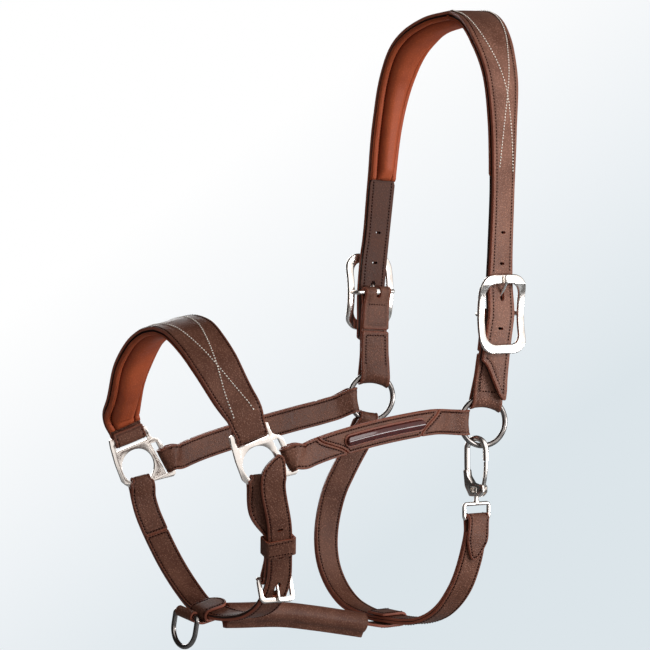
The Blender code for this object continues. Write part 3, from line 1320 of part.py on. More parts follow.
def make_snap():
    at, p, z, q = snap_axes()
    top = -3.4
    arch = 8.7
    line = [(-6.6, -31.0), (-7.9, -26.0), (-8.6, -18.0), (-8.7, -10.0)]
    for k in range(0, 11):
        a = math.radians(180.0 - 18.0 * k)
        line.append((arch * math.cos(a), top + arch * math.sin(a)))
    line += [(8.8, -8.0), (8.9, -12.4)]
    bm = sweep([vec(x, y, 0) for x, y in line], 2.1, 10, up=vec(0, 0, 1), flat=1.15)
    base = [(-10.6, -20.0), (-6.6, -20.0), (-5.8, -25.0), (-2.0, -30.5), (1.6, -31.5), (7.6, -31.5),
            (8.6, -33.0), (8.6, -37.6), (5.5, -41.0), (-5.0, -41.0), (-9.2, -33.0)]
    block = prism(base, -3.5, 3.5)
    bevel_all(block, 0.6, 1, 1.0)
    bm = boolean(bm, block, "UNION")
    hub = [(3.4, -30.0), (12.0, -30.0), (12.0, -39.4), (3.4, -39.4)]
    tool = prism(hub, -1.9, 1.9)
    bm = boolean(bm, tool, "DIFFERENCE")
    tool = prism([(-3.1, -37.6), (3.0, -37.6), (3.0, -33.2), (-3.1, -33.2)], -5.0, 5.0)
    bm = boolean(bm, tool, "DIFFERENCE")
    bore = sweep([vec(0, -45.0, 0), vec(0, -40.0, 0), vec(0, -36.0, 0)], 2.2, 12, up=vec(0, 0, 1))
    bm = boolean(bm, bore, "DIFFERENCE")
    hole = sweep([vec(HINGE[0], HINGE[1], -6.0), vec(HINGE[0], HINGE[1], 0), vec(HINGE[0], HINGE[1], 6.0)],
                 1.15, 12, up=vec(1, 0, 0))
    bm = boolean(bm, hole, "DIFFERENCE")
    stand(bm, at, p, z, -q)
    finish("snap_hook_body", bm, nickel(), at)

    gate = sweep(smooth_line([(HINGE[0], HINGE[1], 0), (7.6, -28.0, 0), (8.6, -20.0, 0), (8.8, -13.0, 0)], 2),
                 1.6, 8, up=vec(0, 0, 1), flat=0.95)
    hub = sweep([vec(HINGE[0], HINGE[1], -1.6), vec(HINGE[0], HINGE[1], 0), vec(HINGE[0], HINGE[1], 1.6)],
                2.4, 14, up=vec(1, 0, 0))
    gate = boolean(gate, hub, "UNION")
    hole = sweep([vec(HINGE[0], HINGE[1], -6.0), vec(HINGE[0], HINGE[1], 0), vec(HINGE[0], HINGE[1], 6.0)],
                 1.25, 12, up=vec(1, 0, 0))
    gate = boolean(gate, hole, "DIFFERENCE")
    stand(gate, at, p, z, -q)
    hinge = at + HINGE[0] * p + HINGE[1] * z
    finish("snap_gate", gate, nickel(), hinge)
    pin = sweep([vec(HINGE[0], HINGE[1], -3.7), vec(HINGE[0], HINGE[1], 0), vec(HINGE[0], HINGE[1], 3.7)],
                1.0, 12, up=vec(1, 0, 0))
    stand(pin, at, p, z, -q)
    finish("snap_gate_pin", pin, spring_steel())

    x = vec(1.0, 0.0, 0.0)
    side = 12.2
    line = [(-side + 1.8, -46.8), (0.0, -46.8), (side - 1.8, -46.8), (side - 0.5, -47.3), (side, -48.6),
            (side, -53.0), (side, -56.8), (side - 0.5, -58.1), (side - 1.8, -EYE_DROP), (0.0, -EYE_DROP),
            (-side + 1.8, -EYE_DROP), (-side + 0.5, -58.1), (-side, -56.8), (-side, -53.0), (-side, -48.6),
            (-side + 0.5, -47.3)]
    bm = sweep([vec(a, b, 0) for a, b in line], EYE_WIRE, 8, True, up=vec(0, 0, 1))
    stem = lathe([(0.0, -33.7), (2.0, -33.7), (2.6, -34.3), (2.6, -36.6), (1.85, -37.1), (1.85, -44.0),
                  (2.6, -45.2), (2.6, -46.8), (0.0, -47.2)], 14)
    bm = boolean(bm, stem, "UNION")
    stand(bm, at, x, z, np.cross(x, z))
    finish("snap_eye", bm, nickel(), at)


def lathe(profile, steps):
    """Turn a profile of (radius, height) about the y axis."""
    bm = bmesh.new()
    loops = []
    for r, y in profile:
        if r == 0.0:
            loops.append([bm.verts.new((0.0, y, 0.0))])
            continue
        loops.append([bm.verts.new((r * math.cos(2 * math.pi * k / steps), y,
                                    r * math.sin(2 * math.pi * k / steps))) for k in range(steps)])
    for a, b in zip(loops, loops[1:]):
        for k in range(steps):
            m = (k + 1) % steps
            if len(a) == 1:
                bm.faces.new((a[0], b[m], b[k]))
            elif len(b) == 1:
                bm.faces.new((a[k], a[m], b[0]))
            else:
                bm.faces.new((a[k], a[m], b[m], b[k]))
    return bm


def build():
    wipe()
    make_crown()
    for side in (-1, 1):
        make_chape(side)
        make_crown_buckle(side)
        make_tongue(side)
        make_ring("cheek_ring_" + SIDE[side], ring_centre(side), RING_R, WIRE_R, plane_out(side))
        make_fitting(side)
        make_cheekpiece(side)
    make_noseband()
    chin = make_chin()
    make_chin_chape(chin)
    make_chin_buckle()
    make_keeper(chin)
    make_jaw()
    make_lead_ring()
    make_throat()
    make_snap()


build()
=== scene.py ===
"""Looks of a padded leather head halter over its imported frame: straps, stuffed pads, polished metal."""
import bpy
import bmesh
import json
import math
import numpy as np
from mathutils import Matrix, Vector, noise

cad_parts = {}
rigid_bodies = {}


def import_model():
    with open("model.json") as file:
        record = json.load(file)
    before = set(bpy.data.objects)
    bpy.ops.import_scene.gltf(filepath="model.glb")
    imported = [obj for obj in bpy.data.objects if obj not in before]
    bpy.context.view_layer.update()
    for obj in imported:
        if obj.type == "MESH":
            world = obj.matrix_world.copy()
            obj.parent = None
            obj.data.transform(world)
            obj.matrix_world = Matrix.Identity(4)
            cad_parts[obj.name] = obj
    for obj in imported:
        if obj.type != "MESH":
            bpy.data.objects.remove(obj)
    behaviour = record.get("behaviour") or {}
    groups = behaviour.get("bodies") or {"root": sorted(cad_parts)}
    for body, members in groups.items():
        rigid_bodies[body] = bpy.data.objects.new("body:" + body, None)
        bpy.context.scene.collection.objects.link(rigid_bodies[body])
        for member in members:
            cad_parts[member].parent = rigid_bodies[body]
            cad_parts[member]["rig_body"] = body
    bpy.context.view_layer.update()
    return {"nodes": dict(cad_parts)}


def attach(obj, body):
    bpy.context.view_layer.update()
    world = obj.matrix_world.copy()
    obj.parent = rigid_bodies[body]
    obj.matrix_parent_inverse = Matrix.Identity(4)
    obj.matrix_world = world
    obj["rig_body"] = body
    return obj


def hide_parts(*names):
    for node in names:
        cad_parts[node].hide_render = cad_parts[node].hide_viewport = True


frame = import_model()

MM = 0.001

# driving sizes in millimetres, the same as in the part's source: thicknesses, half widths, bars, places

LEATHER = 2.2
LINING = 2.4
PAD_SKIN = 1.2
GAP = 0.3
CROWN_HALF = 12.5
CROWN_PAD_HALF = 19.0
SMALL_HALF = 10.0
NOSE_HALF = 21.0
TAB_HALF = 13.0
CROWN_RISE = 10.4
NOSE_RISE = 10.0
PAD_BORDER = 5.0
PAD_BASE = GAP + LINING + 0.6
WIRE_R = 2.1
RING_R = 19.0
BAR_R = 1.8
TONGUE_R = 1.35
SLIT_HALF = 2.3
PLATE = 3.2
RING_AT = {-1: (-41.0, 75.6, -314.6), 1: (-39.3, 75.6, -303.3)}
FIT_AT = {-1: (-263.2, 82.0, -336.4), 1: (-265.5, 82.0, -349.2)}
BUCKLE_AT = {-1: (-32.0, 78.65, -228.5), 1: (-32.0, 78.65, -216.9)}
TURN = math.radians(15.0)
FIT_TILT = math.radians(20.0)
CHAPE_LEAN = math.radians(8.0)
THROAT_LEAN = math.radians(11.0)
TONGUE_HOLE = {-1: 15.0, 1: 6.0}
SIDE = {-1: "near", 1: "far"}


def vec(*p):
    return np.array(p, float)


def unit(v):
    return v / np.linalg.norm(v)


def out(side, p):
    """A point or direction given outward from the middle, placed on one side."""
    return vec(p[0], side * p[1], p[2])


def rear_dir():
    """Horizontal direction in the turned planes of the rings and fittings."""
    return vec(math.cos(TURN), -math.sin(TURN), 0.0)


def plane_out(side):
    """Outward normal of the turned planes."""
    return -side * vec(-math.sin(TURN), -math.cos(TURN), 0.0)


def placed(side, rows):
    """Points and facings given outward from the middle, placed on one side."""
    return [(out(side, p[:3]), unit(out(side, p[3:]))) for p in rows]


# spacing of a route's points, and how far a strap runs or turns before it gets a new cross cut

ROUTE_STEP = 0.6
STATION_TURN = math.radians(3.0)
STATION_STEP = 4.5


class Route:
    """A smooth line through given points, each with the direction that the leather faces."""

    def __init__(self, points, flip=1.0):
        P = np.array([p for p, n in points], float)
        N = np.array([unit(n) for p, n in points], float)
        P = np.vstack([2 * P[0] - P[1], P, 2 * P[-1] - P[-2]])
        N = np.vstack([N[0], N, N[-1]])
        t = np.concatenate([[0.0], np.cumsum(np.sqrt(np.linalg.norm(np.diff(P, axis=0), axis=1)))])
        pos, nrm = [], []
        for i in range(1, len(P) - 2):
            count = max(3, int(np.linalg.norm(P[i + 1] - P[i]) / ROUTE_STEP))
            for k in range(count):
                u = t[i] + (t[i + 1] - t[i]) * k / count
                pos.append(self.spline(P, t, i, u))
                nrm.append(self.spline(N, t, i, u))
        pos.append(P[-2])
        nrm.append(N[-2])
        self.P = np.array(pos)
        step = np.linalg.norm(np.diff(self.P, axis=0), axis=1)
        self.s = np.concatenate([[0.0], np.cumsum(step)])
        T = np.gradient(self.P, self.s, axis=0)
        self.T = T / np.linalg.norm(T, axis=1)[:, None]
        N = np.array(nrm)
        N = N - (N * self.T).sum(1)[:, None] * self.T
        self.N = N / np.linalg.norm(N, axis=1)[:, None]
        self.W = flip * np.cross(self.T, self.N)
        self.length = self.s[-1]

    @staticmethod
    def spline(A, t, i, u):
        """Catmull-Rom value between two points, with the knots spaced by the gaps' square roots."""
        def mix(a, b, ta, tb):
            return (tb - u) / (tb - ta) * a + (u - ta) / (tb - ta) * b
        a1 = mix(A[i - 1], A[i], t[i - 1], t[i])
        a2 = mix(A[i], A[i + 1], t[i], t[i + 1])
        a3 = mix(A[i + 1], A[i + 2], t[i + 1], t[i + 2])
        b1 = mix(a1, a2, t[i - 1], t[i + 1])
        b2 = mix(a2, a3, t[i], t[i + 2])
        return mix(b1, b2, t[i], t[i + 1])

    def pick(self, A, s):
        """One of the line's arrays at a place; the points run on straight past both ends."""
        v = vec(*[np.interp(s, self.s, A[:, k]) for k in range(3)])
        if A is self.P:
            if s < 0.0:
                v = v + self.T[0] * s
            elif s > self.length:
                v = v + self.T[-1] * (s - self.length)
        return v

    def place(self, s, w, t):
        """The point along the line, across it and out from it."""
        return self.pick(self.P, s) + w * self.pick(self.W, s) + t * self.pick(self.N, s)

    def layer(self, s, t=0.0, sign=1.0):
        """A point at a height off the line, with its facing; sign -1 turns it to face the other way."""
        return self.place(s, 0.0, t), sign * self.pick(self.N, s)

    def nearest(self, p, lo=0.0, hi=math.inf):
        """The place along the line nearest to a point."""
        d = np.linalg.norm(self.P - np.array(p), axis=1)
        d[(self.s < lo) | (self.s > hi)] = math.inf
        return float(self.s[int(np.argmin(d))])

    def stations(self, s0, s1):
        """Places where the bend or twist has gone far enough to need a new cross cut."""
        found = []
        last = s0
        ref = None
        for s, T, N in zip(self.s, self.T, self.N):
            if s <= s0 or s >= s1:
                continue
            if ref is None:
                ref = (T, N)
            bend = max(math.acos(min(1.0, T @ ref[0])), math.acos(min(1.0, N @ ref[1])))
            if bend > STATION_TURN or s - last > STATION_STEP:
                found.append(float(s))
                last = s
                ref = (T, N)
        return found


def fold(centre, side_dir, away, r_side, r_away, start=0.0, end=180.0, steps=8):
    """Points round a bar, from the side_dir flank over the far side and back up the other flank."""
    points = []
    for k in range(steps + 1):
        a = math.radians(start + (end - start) * k / steps)
        p = centre + r_side * math.cos(a) * side_dir + r_away * math.sin(a) * away
        n = math.cos(a) / r_side * side_dir + math.sin(a) / r_away * away
        points.append((p, n))
    return points


def clean_outline(points, tol):
    """The outline without points that fall on each other."""
    kept = []
    for p in points:
        if not kept or math.dist(p, kept[-1]) > tol:
            kept.append(p)
    if math.dist(kept[0], kept[-1]) < tol:
        kept.pop()
    return kept


def slot_points(s, length, half, steps=3, w=0.0):
    """Outline of a slot with rounded ends, its long side along s when length > 2 half."""
    pts = []
    straight = max(0.0, length / 2.0 - half)
    for sign in (1.0, -1.0):
        for k in range(steps + 1):
            a = -math.pi / 2.0 + math.pi * k / steps
            pts.append((s + sign * (straight + half * math.cos(a)), w + sign * half * math.sin(a)))
    return pts


def rounded_box(half_x, half_y, radius, steps=4):
    """Outline of a rectangle with round corners."""
    pts = []
    for cx, cy, a0 in ((1, 1, 0), (-1, 1, 90), (-1, -1, 180), (1, -1, 270)):
        for k in range(steps + 1):
            a = math.radians(a0 + 90.0 * k / steps)
            pts.append((cx * (half_x - radius) + radius * math.cos(a),
                        cy * (half_y - radius) + radius * math.sin(a)))
    return pts


def smooth_line(points, per=6):
    """Catmull-Rom line through plain points."""
    route = Route([(vec(*p), vec(0.21, 0.34, 0.92)) for p in points])
    count = per * (len(points) - 1)
    return [route.pick(route.P, route.length * k / count) for k in range(count + 1)]


def linked(name, data):
    """A new object of that data, linked into the scene."""
    ob = bpy.data.objects.new(name, data)
    bpy.context.scene.collection.objects.link(ob)
    return ob


def boolean(bm, tool, operation):
    """Combine two bmeshes exactly and return the result."""
    obs = []
    for part in (bm, tool):
        mesh = bpy.data.meshes.new("work")
        bmesh.ops.recalc_face_normals(part, faces=part.faces)
        part.to_mesh(mesh)
        part.free()
        obs.append(linked("work", mesh))
    mod = obs[0].modifiers.new("cut", "BOOLEAN")
    mod.operation = operation
    mod.solver = "EXACT"
    mod.object = obs[1]
    graph = bpy.context.evaluated_depsgraph_get()
    result = bmesh.new()
    result.from_mesh(obs[0].evaluated_get(graph).to_mesh())
    for ob in obs:
        bpy.data.objects.remove(ob, do_unlink=True)
    return result


def ring_centre(side):
    return out(side, RING_AT[side])


def ring_dir(angle):
    """Direction in the ring's plane, angle measured from straight up toward the rear."""
    return math.sin(angle) * rear_dir() + math.cos(angle) * vec(0, 0, 1)


def fit_axes():
    """Directions in the nose fitting's plane, which tilts: rearward, and up."""
    h = rear_dir()
    z = vec(0, 0, 1)
    return math.cos(FIT_TILT) * h + math.sin(FIT_TILT) * z, -math.sin(FIT_TILT) * h + math.cos(FIT_TILT) * z


def fit_point(side, u, v, n=0.0):
    """A point on a nose fitting, given along its own axes."""
    U, V = fit_axes()
    return out(side, FIT_AT[side]) + u * U + v * V + n * plane_out(side)


# the routes of the straps and the axes of the metal; a row is a point and the way the leather faces there

CROWN_LINE = [
    (-31.4, 84.2, -205.0, 0.07, 1.0, 0.0),
    (-30.0, 83.2, -180.0, 0.15, 0.98, 0.0),
    (-28.0, 83.2, -130.0, 0.20, 0.97, 0.05),
    (-24.5, 79.6, -80.0, 0.18, 0.96, 0.14),
    (-19.5, 70.2, -40.4, 0.12, 0.86, 0.5),
    (-15.0, 53.6, -14.0, 0.06, 0.62, 0.79),
    (-7.0, 29.0, 4.0, 0.0, 0.30, 0.95),
    (0.0, 3.5, CROWN_RISE, 0.0, 0.0, 1.0),
]
BILLET_OVER = LEATHER + GAP + LINING + GAP + 0.5
FAR_LIFT = 11.6
FAR_LEAN = 4.0
FAR_TWIST = 0.2
PAD_SHIFT = 8.5
CROWN_PAD_END = (-28.6, 83.4, -128.0)
CROWN_HOLES = {-1: (-163.7, -188.4, -239.6), 1: (-167.8, -192.9, -241.0)}
CHAPE_SPLIT = 0.3
LOOP_WIDE = 5.3
SADDLE_WIDE = 28.0
LOOP_SMALL = 4.2
SADDLE_SMALL = 38.0
LOOP_SIDE = 2.8
CHAPE_BEND = BAR_R + 0.45
HOLE_HALF = 1.0


def chape_middle(side, f):
    """Middle of the doubled chape, from the ring's wire (0) to the buckle bar (1), and its outward side."""
    wire = ring_centre(side) + RING_R * ring_dir(CHAPE_LEAN)
    bar = out(side, BUCKLE_AT[side])
    turned = max(0.0, 1.0 - f) ** 1.6
    n = unit(plane_out(side) * turned + out(side, (0, 1, 0)) * (1.0 - turned))
    return wire + (bar - wire) * f + 1.4 * math.sin(math.pi * f) * n, n


def billet_points(side):
    """The crown billet lying over the chape, from its tip by the ring up to the buckle bar."""
    points = []
    for f, rise in ((0.0, 3.6), (0.11, 3.0), (0.26, 0.9), (0.45, 0.0), (0.68, 0.3), (0.85, 1.4), (1.0, 2.1)):
        p, n = chape_middle(side, f)
        points.append((p + (BILLET_OVER + rise) * n, n))
    return points


def crown_route():
    """Over the poll from the near billet's tip to the far one's; the far leg hangs a little differently."""
    far = []
    for x, y, z, ahead, outward, upward in reversed(CROWN_LINE):
        lift = FAR_LIFT * float(np.interp(-z, [120.0, 200.0], [0.0, 1.0]))
        lean = FAR_LEAN * float(np.interp(-z, [10.0, 60.0, 150.0, 190.0], [0.0, 1.0, 1.0, 0.0]))
        twist = FAR_TWIST * float(np.interp(-z, [20.0, 80.0, 180.0, 205.0], [0.0, 1.0, 1.0, 0.3]))
        far.append((x + lean, y, z + lift, ahead - twist, outward, upward))
    route = Route(billet_points(-1) + placed(-1, CROWN_LINE) + placed(1, far) + billet_points(1)[::-1])
    s0 = route.nearest(out(-1, CROWN_PAD_END))
    route.pad = (s0 + PAD_SHIFT, route.length - s0 + PAD_SHIFT)
    return route


def tapered(route, places, halves):
    """Half widths at places from the near end, and the same from the far end."""
    near = list(zip(places, halves))
    return near + [(route.length - s, half) for s, half in reversed(near)]


def crown_widths(route):
    """Narrow billets, broadening up the cheeks to the width of the pad."""
    places = [route.nearest(out(-1, p[:3])) for p in CROWN_LINE[:6]]
    return tapered(route, places, [CROWN_HALF, CROWN_HALF, 12.8, 14.4, 16.8, CROWN_PAD_HALF])


def slit(s, length, steps=3):
    """A buckle hole: a short slot across the strap."""
    return [(s + y, x) for x, y in slot_points(0.0, length, HOLE_HALF, steps)]


def crown_holes(route, long_slot):
    """Slits across the billets, and the long hole where each tongue passes through."""
    cuts = []
    for side in (-1, 1):
        cuts += [slit(route.nearest(out(side, (-31.0, 84.0, z))), 5.4) for z in CROWN_HOLES[side]]
        hole = TONGUE_HOLE[side]
        lo, hi = (-2.5, hole + 3.2) if long_slot else (hole - 5.2, hole + 4.4)
        s = route.nearest(out(side, (-31.0, 84.0, BUCKLE_AT[side][2] + (lo + hi) / 2.0)))
        cuts.append(slot_points(s, hi - lo, SLIT_HALF))
    return cuts


def chape_route(side):
    """Closed wrap round the ring's wire below and the buckle bar above."""
    up_ring = ring_dir(CHAPE_LEAN)
    wire = ring_centre(side) + RING_R * up_ring
    bar = out(side, BUCKLE_AT[side])

    def layer(f, sign):
        p, n = chape_middle(side, f)
        return p + sign * CHAPE_SPLIT * n, sign * n

    pts = [layer(f, -1.0) for f in (0.52, 0.38, 0.24)]
    pts += fold(wire, -plane_out(side), -up_ring, 3.2, LOOP_WIDE)
    pts += [layer(f, 1.0) for f in (0.24, 0.38, 0.55, 0.7, 0.85)]
    pts += fold(bar, out(side, (0, 1, 0)), vec(0, 0, 1), CHAPE_BEND, CHAPE_BEND)
    pts += [layer(f, -1.0) for f in (0.85, 0.7, 0.545)]
    return Route(pts, -side), wire, bar, -up_ring


# crown buckle frames, then the nose fittings: round hole, rim, and the bars above and behind

FRAME_HALF = (23.0, 31.5)
FRAME_OPEN = (16.6, 24.0)
FRAME_DEPTH = 3.2
FRAME_STANDOFF = 9.9
FRAME_BOW = 3.6
FIT_HOLE = 13.75
FIT_RIM = 18.3
TOP_BAR_V = 24.2
SIDE_BAR = ((22.2, 12.5), (26.2, -14.3))


def tongue_line(hole):
    """Side view of a tongue as (height above the bar, distance out)."""
    return [(0.0, 3.45), (hole * 0.42, 3.6), (hole * 0.78, 4.8), (hole + 1.2, 8.4), (hole + 5.0, 12.0),
            ((hole + 36.0) / 2.0, 15.1), (31.0, 15.2)]


NOSE_LINE = [
    (-281.2, 71.8, -283.0, -0.22, 0.86, 0.42),
    (-285.6, 53.8, -259.0, -0.22, 0.64, 0.72),
    (-286.6, 37.6, -245.0, -0.21, 0.34, 0.92),
    (-286.0, 20.0, -235.4, -0.20, 0.16, 0.96),
    (-285.4, 3.0, -232.0, -0.20, 0.0, 0.98),
]
NOSE_FAR_SHIFT = ((-1.5, 3.0, -7.0), (-1.0, 0.5, -2.5))
TAB_END = 7.0


def nose_tab(side):
    """From the sewn end inside, down and round the fitting's top bar, then up to the band."""
    V = fit_axes()[1]
    n = plane_out(side)
    bar = fit_point(side, 1.0, TOP_BAR_V)
    pts = [(bar + TAB_END * V - 1.3 * n, -n), (bar + 3.5 * V - 1.9 * n, -n)]
    pts += fold(bar, -n, -V, 2.6, 2.6)
    pts += [(bar + 8.0 * V + 2.2 * n, n), (bar + 17.0 * V + 2.4 * n, n)]
    return pts


def nose_route():
    """Over the nose from one fitting's tab to the other's; the far side sits a little lower."""
    shifts = NOSE_FAR_SHIFT + ((0.0, 0.0, 0.0),) * (len(NOSE_LINE) - len(NOSE_FAR_SHIFT))
    far = [(*np.add(p[:3], shift), *p[3:]) for p, shift in zip(NOSE_LINE, shifts)]
    route = Route(nose_tab(-1) + placed(-1, NOSE_LINE) + placed(1, far)[::-1] + nose_tab(1)[::-1])
    bar = fit_point(-1, 1.0, TOP_BAR_V)
    s0 = route.nearest(bar + (TAB_END + 2.0) * fit_axes()[1] + 2.2 * plane_out(-1), 16.0, 200.0)
    route.pad = (s0, route.length - s0)
    return route


def nose_widths(route):
    """Tabs as wide as the fitting's slot, broadening to the band."""
    places = [route.nearest(out(-1, NOSE_LINE[k][:3])) for k in (0, 1, 3)]
    places = [0.0, places[0] - 34.0, places[0] - 20.0] + places
    return tapered(route, places, [TAB_HALF, TAB_HALF, 14.6, 17.2, 19.6, NOSE_HALF])


CHEEK_LINE = {
    -1: [(-226.0, 88.6, -332.2, -0.24, 0.97, 0.0), (-207.0, 86.7, -327.6, -0.02, 1.0, 0.0),
         (-186.0, 85.6, -323.2, 0.03, 1.0, 0.0), (-150.0, 83.8, -317.4, 0.06, 1.0, 0.0),
         (-106.0, 79.8, -312.9, 0.05, 1.0, 0.0), (-88.0, 76.6, -312.3, 0.0, 1.0, 0.0),
         (-70.5, 72.0, -313.6, -0.24, 0.97, 0.0)],
    1: [(-229.5, 77.0, -343.4, 0.24, 0.97, 0.0), (-208.0, 80.8, -338.0, 0.05, 1.0, 0.0),
        (-186.0, 82.4, -333.0, 0.0, 1.0, 0.0), (-150.0, 82.7, -325.6, 0.0, 1.0, 0.0),
        (-106.0, 83.0, -317.6, 0.05, 1.0, 0.0), (-88.0, 82.9, -314.6, 0.08, 1.0, 0.0),
        (-69.0, 82.0, -310.6, 0.24, 0.97, 0.0)],
}
CHEEK_LEAN = {-1: math.radians(90.0), 1: math.radians(97.0)}
BAR_FOLD = 2.65
BAR_EASE = 5.8
CHEEK_DROP = {-1: 2.6, 1: 1.0}
BORDER_HALF = 5.3
BORDER_HIGH = 0.8
INLAY_HALF = 3.9
FLAP_SWEEP = {"fitting": 26.0, "ring": 20.0}


def cheek_route(side):
    """Wrap lying along the inside, folded outward round the fitting's side bar and the ring's wire."""
    n = plane_out(side)
    a, b = vec(*SIDE_BAR[0]), vec(*SIDE_BAR[1])
    mid = (a + b) / 2.0
    bar = fit_point(side, mid[0] + 0.4, mid[1] - 2.1)
    U, V = fit_axes()
    along_bar = unit((a[0] - b[0]) * U + (a[1] - b[1]) * V)
    rear = np.cross(along_bar, n)
    rear = rear * (1.0 if rear[0] > 0 else -1.0)
    front = ring_dir(-CHEEK_LEAN[side])
    wire = ring_centre(side) + RING_R * front
    mids = placed(side, CHEEK_LINE[side])
    face = Route([(p + (GAP / 2) * m, m) for p, m in mids], side)
    ease = rear + unit(mids[0][0] - bar)
    ease = unit(ease - (ease @ n) * n)
    length = face.length
    pts = [face.layer(s) for s in (42.0, 30.0, 20.0, 10.0, 1.0)]
    pts += [(bar + BAR_EASE * ease + 2.6 * n, n)]
    pts += fold(bar, n, -rear, BAR_FOLD, BAR_FOLD)
    pts += [(bar + BAR_EASE * ease - 2.75 * n, -n)]
    pts += [face.layer(s, -GAP, -1.0) for s in np.linspace(1.0, length - 1.0, 16)]
    pts += fold(wire, -n, -front, LOOP_SIDE, LOOP_SMALL)
    pts += [face.layer(length - s) for s in (1.0, 10.0, 20.0, 30.0, 38.0)]
    return Route(pts, side), face, bar, wire, front, rear


CHIN_LINING = 1.8
CHIN_FAR = [
    (-262.0, 79.6, -374.0, 0.27, 0.96, -0.04), (-260.4, 76.2, -386.0, 0.30, 0.93, -0.16),
    (-257.4, 68.0, -402.5, 0.34, 0.88, -0.32), (-254.6, 51.0, -425.0, 0.34, 0.72, -0.60),
    (-252.6, 31.0, -443.8, 0.30, 0.42, -0.86), (-252.8, 12.5, -454.6, 0.22, 0.16, -0.96),
    (-251.8, 0.0, -456.8, 0.22, 0.14, -0.96),
]
CHIN_NEAR = [
    (-250.8, 12.5, -459.0, 0.22, -0.14, -0.96), (-246.0, 28.0, -460.0, 0.12, 0.10, -0.99),
    (-241.6, 42.0, -457.6, 0.04, 0.34, -0.94), (-238.2, 53.2, -451.8, -0.05, 0.62, -0.78),
    (-235.7, 60.6, -443.0, -0.14, 0.86, -0.48), (-235.9, 69.0, -428.0, -0.20, 0.96, -0.20),
    (-239.4, 75.4, -411.0, -0.24, 0.94, 0.24), (-245.0, 82.8, -386.0, -0.26, 0.94, 0.20),
]
CHIN_HOLES = (-386.0, -411.0)
HEEL_AT = (-234.6, 61.2, -428.0)
CHIN_CHAPE_LINE = [(-262.4, 81.4, -361.5, -0.26, 0.96, 0.0), (-259.0, 79.0, -373.0, -0.26, 0.96, 0.10)]
CHIN_BEND = BAR_R + 0.65
UNDER_BILLET = 0.6 + 2 * GAP + CHIN_LINING + LEATHER + GAP / 2
RIM_NEAR = (0.06, -0.998)
RIM_FAR = (0.20, -0.98)
RIM_SEAT = 12.8
RIM_REACH = 2.7
RIM_WAIST = 7.6


def rim_fold(side, aim, out_first):
    """Fold of a chin strap over the fitting's round rim, as seen from the hole."""
    n = plane_out(side)
    d = unit(aim[0] * rear_dir() + aim[1] * vec(0, 0, 1))
    centre = out(side, FIT_AT[side]) + RIM_SEAT * d
    first = n if out_first else -n
    pts = [(centre + 5.4 * d + 2.05 * first, first), (centre + 2.0 * d + 2.2 * first, first)]
    pts += fold(centre, first, -d, 2.15, RIM_REACH)
    pts += [(centre + 2.0 * d - 2.2 * first, -first), (centre + 5.4 * d - 2.05 * first, -first)]
    return pts, centre, d


def waisted(route, lo, hi, ease, waist):
    """Half widths of a strap drawn in to a waist between two places, with a slope at each end of it."""
    return [(0.0, SMALL_HALF), (lo - ease, SMALL_HALF), (lo, waist), (hi, waist), (hi + ease, SMALL_HALF),
            (route.length, SMALL_HALF)]


def rim_waisted(route, s_fold):
    """The waist that lets a fold sit inside the fitting's round hole."""
    return waisted(route, s_fold - 3.0, s_fold + 3.0, 1.4, RIM_WAIST)


def chin_route():
    """From the far fitting under the chin to the near buckle, then up again as the billet."""
    far = placed(1, CHIN_FAR)
    pts = [(p - (GAP / 2) * m, -m) for p, m in reversed(far[:3])]
    pts += rim_fold(1, RIM_FAR, False)[0]
    pts += [(p + (GAP / 2) * m, m) for p, m in far] + placed(-1, CHIN_NEAR)
    pts += [(fit_point(-1, u, v, 8.4), plane_out(-1)) for u, v in ((2.9, -16.0), (13.4, -1.2), (15.0, 2.4))]
    return Route(pts)


def heel_axes():
    """Directions at the near chin buckle: bar, down the frame, outward."""
    down = unit(vec(-0.06, -0.36, -0.93))
    face = unit(out(-1, (-0.22, 0.93, -0.20)))
    bar = unit(np.cross(down, face))
    return bar, down, np.cross(bar, down)


def chin_chape_middle(route):
    """Middle of the doubled chape: free at the rim, then close under the billet down to the buckle."""
    mids = placed(-1, CHIN_CHAPE_LINE)
    for z in (-391.0, -404.0, -416.0):
        mids.append(route.layer(route.nearest(out(-1, (-241.0, 78.0, z)), 200.0), -UNDER_BILLET))
    return mids


def chin_chape_route(chin):
    """Closed wrap over the near fitting's rim above and round the chin buckle's bar below."""
    fold_pts, centre, d = rim_fold(-1, RIM_NEAR, True)
    bar = out(-1, HEEL_AT)
    mids = chin_chape_middle(chin)
    b = heel_axes()[0]
    t = bar - mids[-1][0]
    t = unit(t - (t @ b) * b)
    n = np.cross(t, b)
    n = n if n @ mids[-1][1] > 0 else -n
    pts = [(p - CHAPE_SPLIT * m, -m) for p, m in reversed(mids[1:4])]
    pts += fold_pts[::-1]
    pts += [(p + CHAPE_SPLIT * m, m) for p, m in mids[1:]]
    pts += fold(bar, n, t, CHIN_BEND, CHIN_BEND)
    p, m = mids[-1]
    pts += [(p - CHAPE_SPLIT * m, -m), (0.5 * (p + mids[-2][0]) - CHAPE_SPLIT * m, -m)]
    return Route(pts), bar, t, centre - RIM_REACH * d


def junction_axes():
    """At the chin strap's lowest stretch: along it to the near side, down off its outer face, forward."""
    a = out(1, CHIN_FAR[5][:3])
    b = out(-1, CHIN_NEAR[0][:3])
    along = unit(b - a)
    down = vec(0.22, 0.0, -0.96)
    down = unit(down - (down @ along) * along)
    front = -np.cross(along, down)
    return out(1, CHIN_FAR[6][:3]), along, down, front


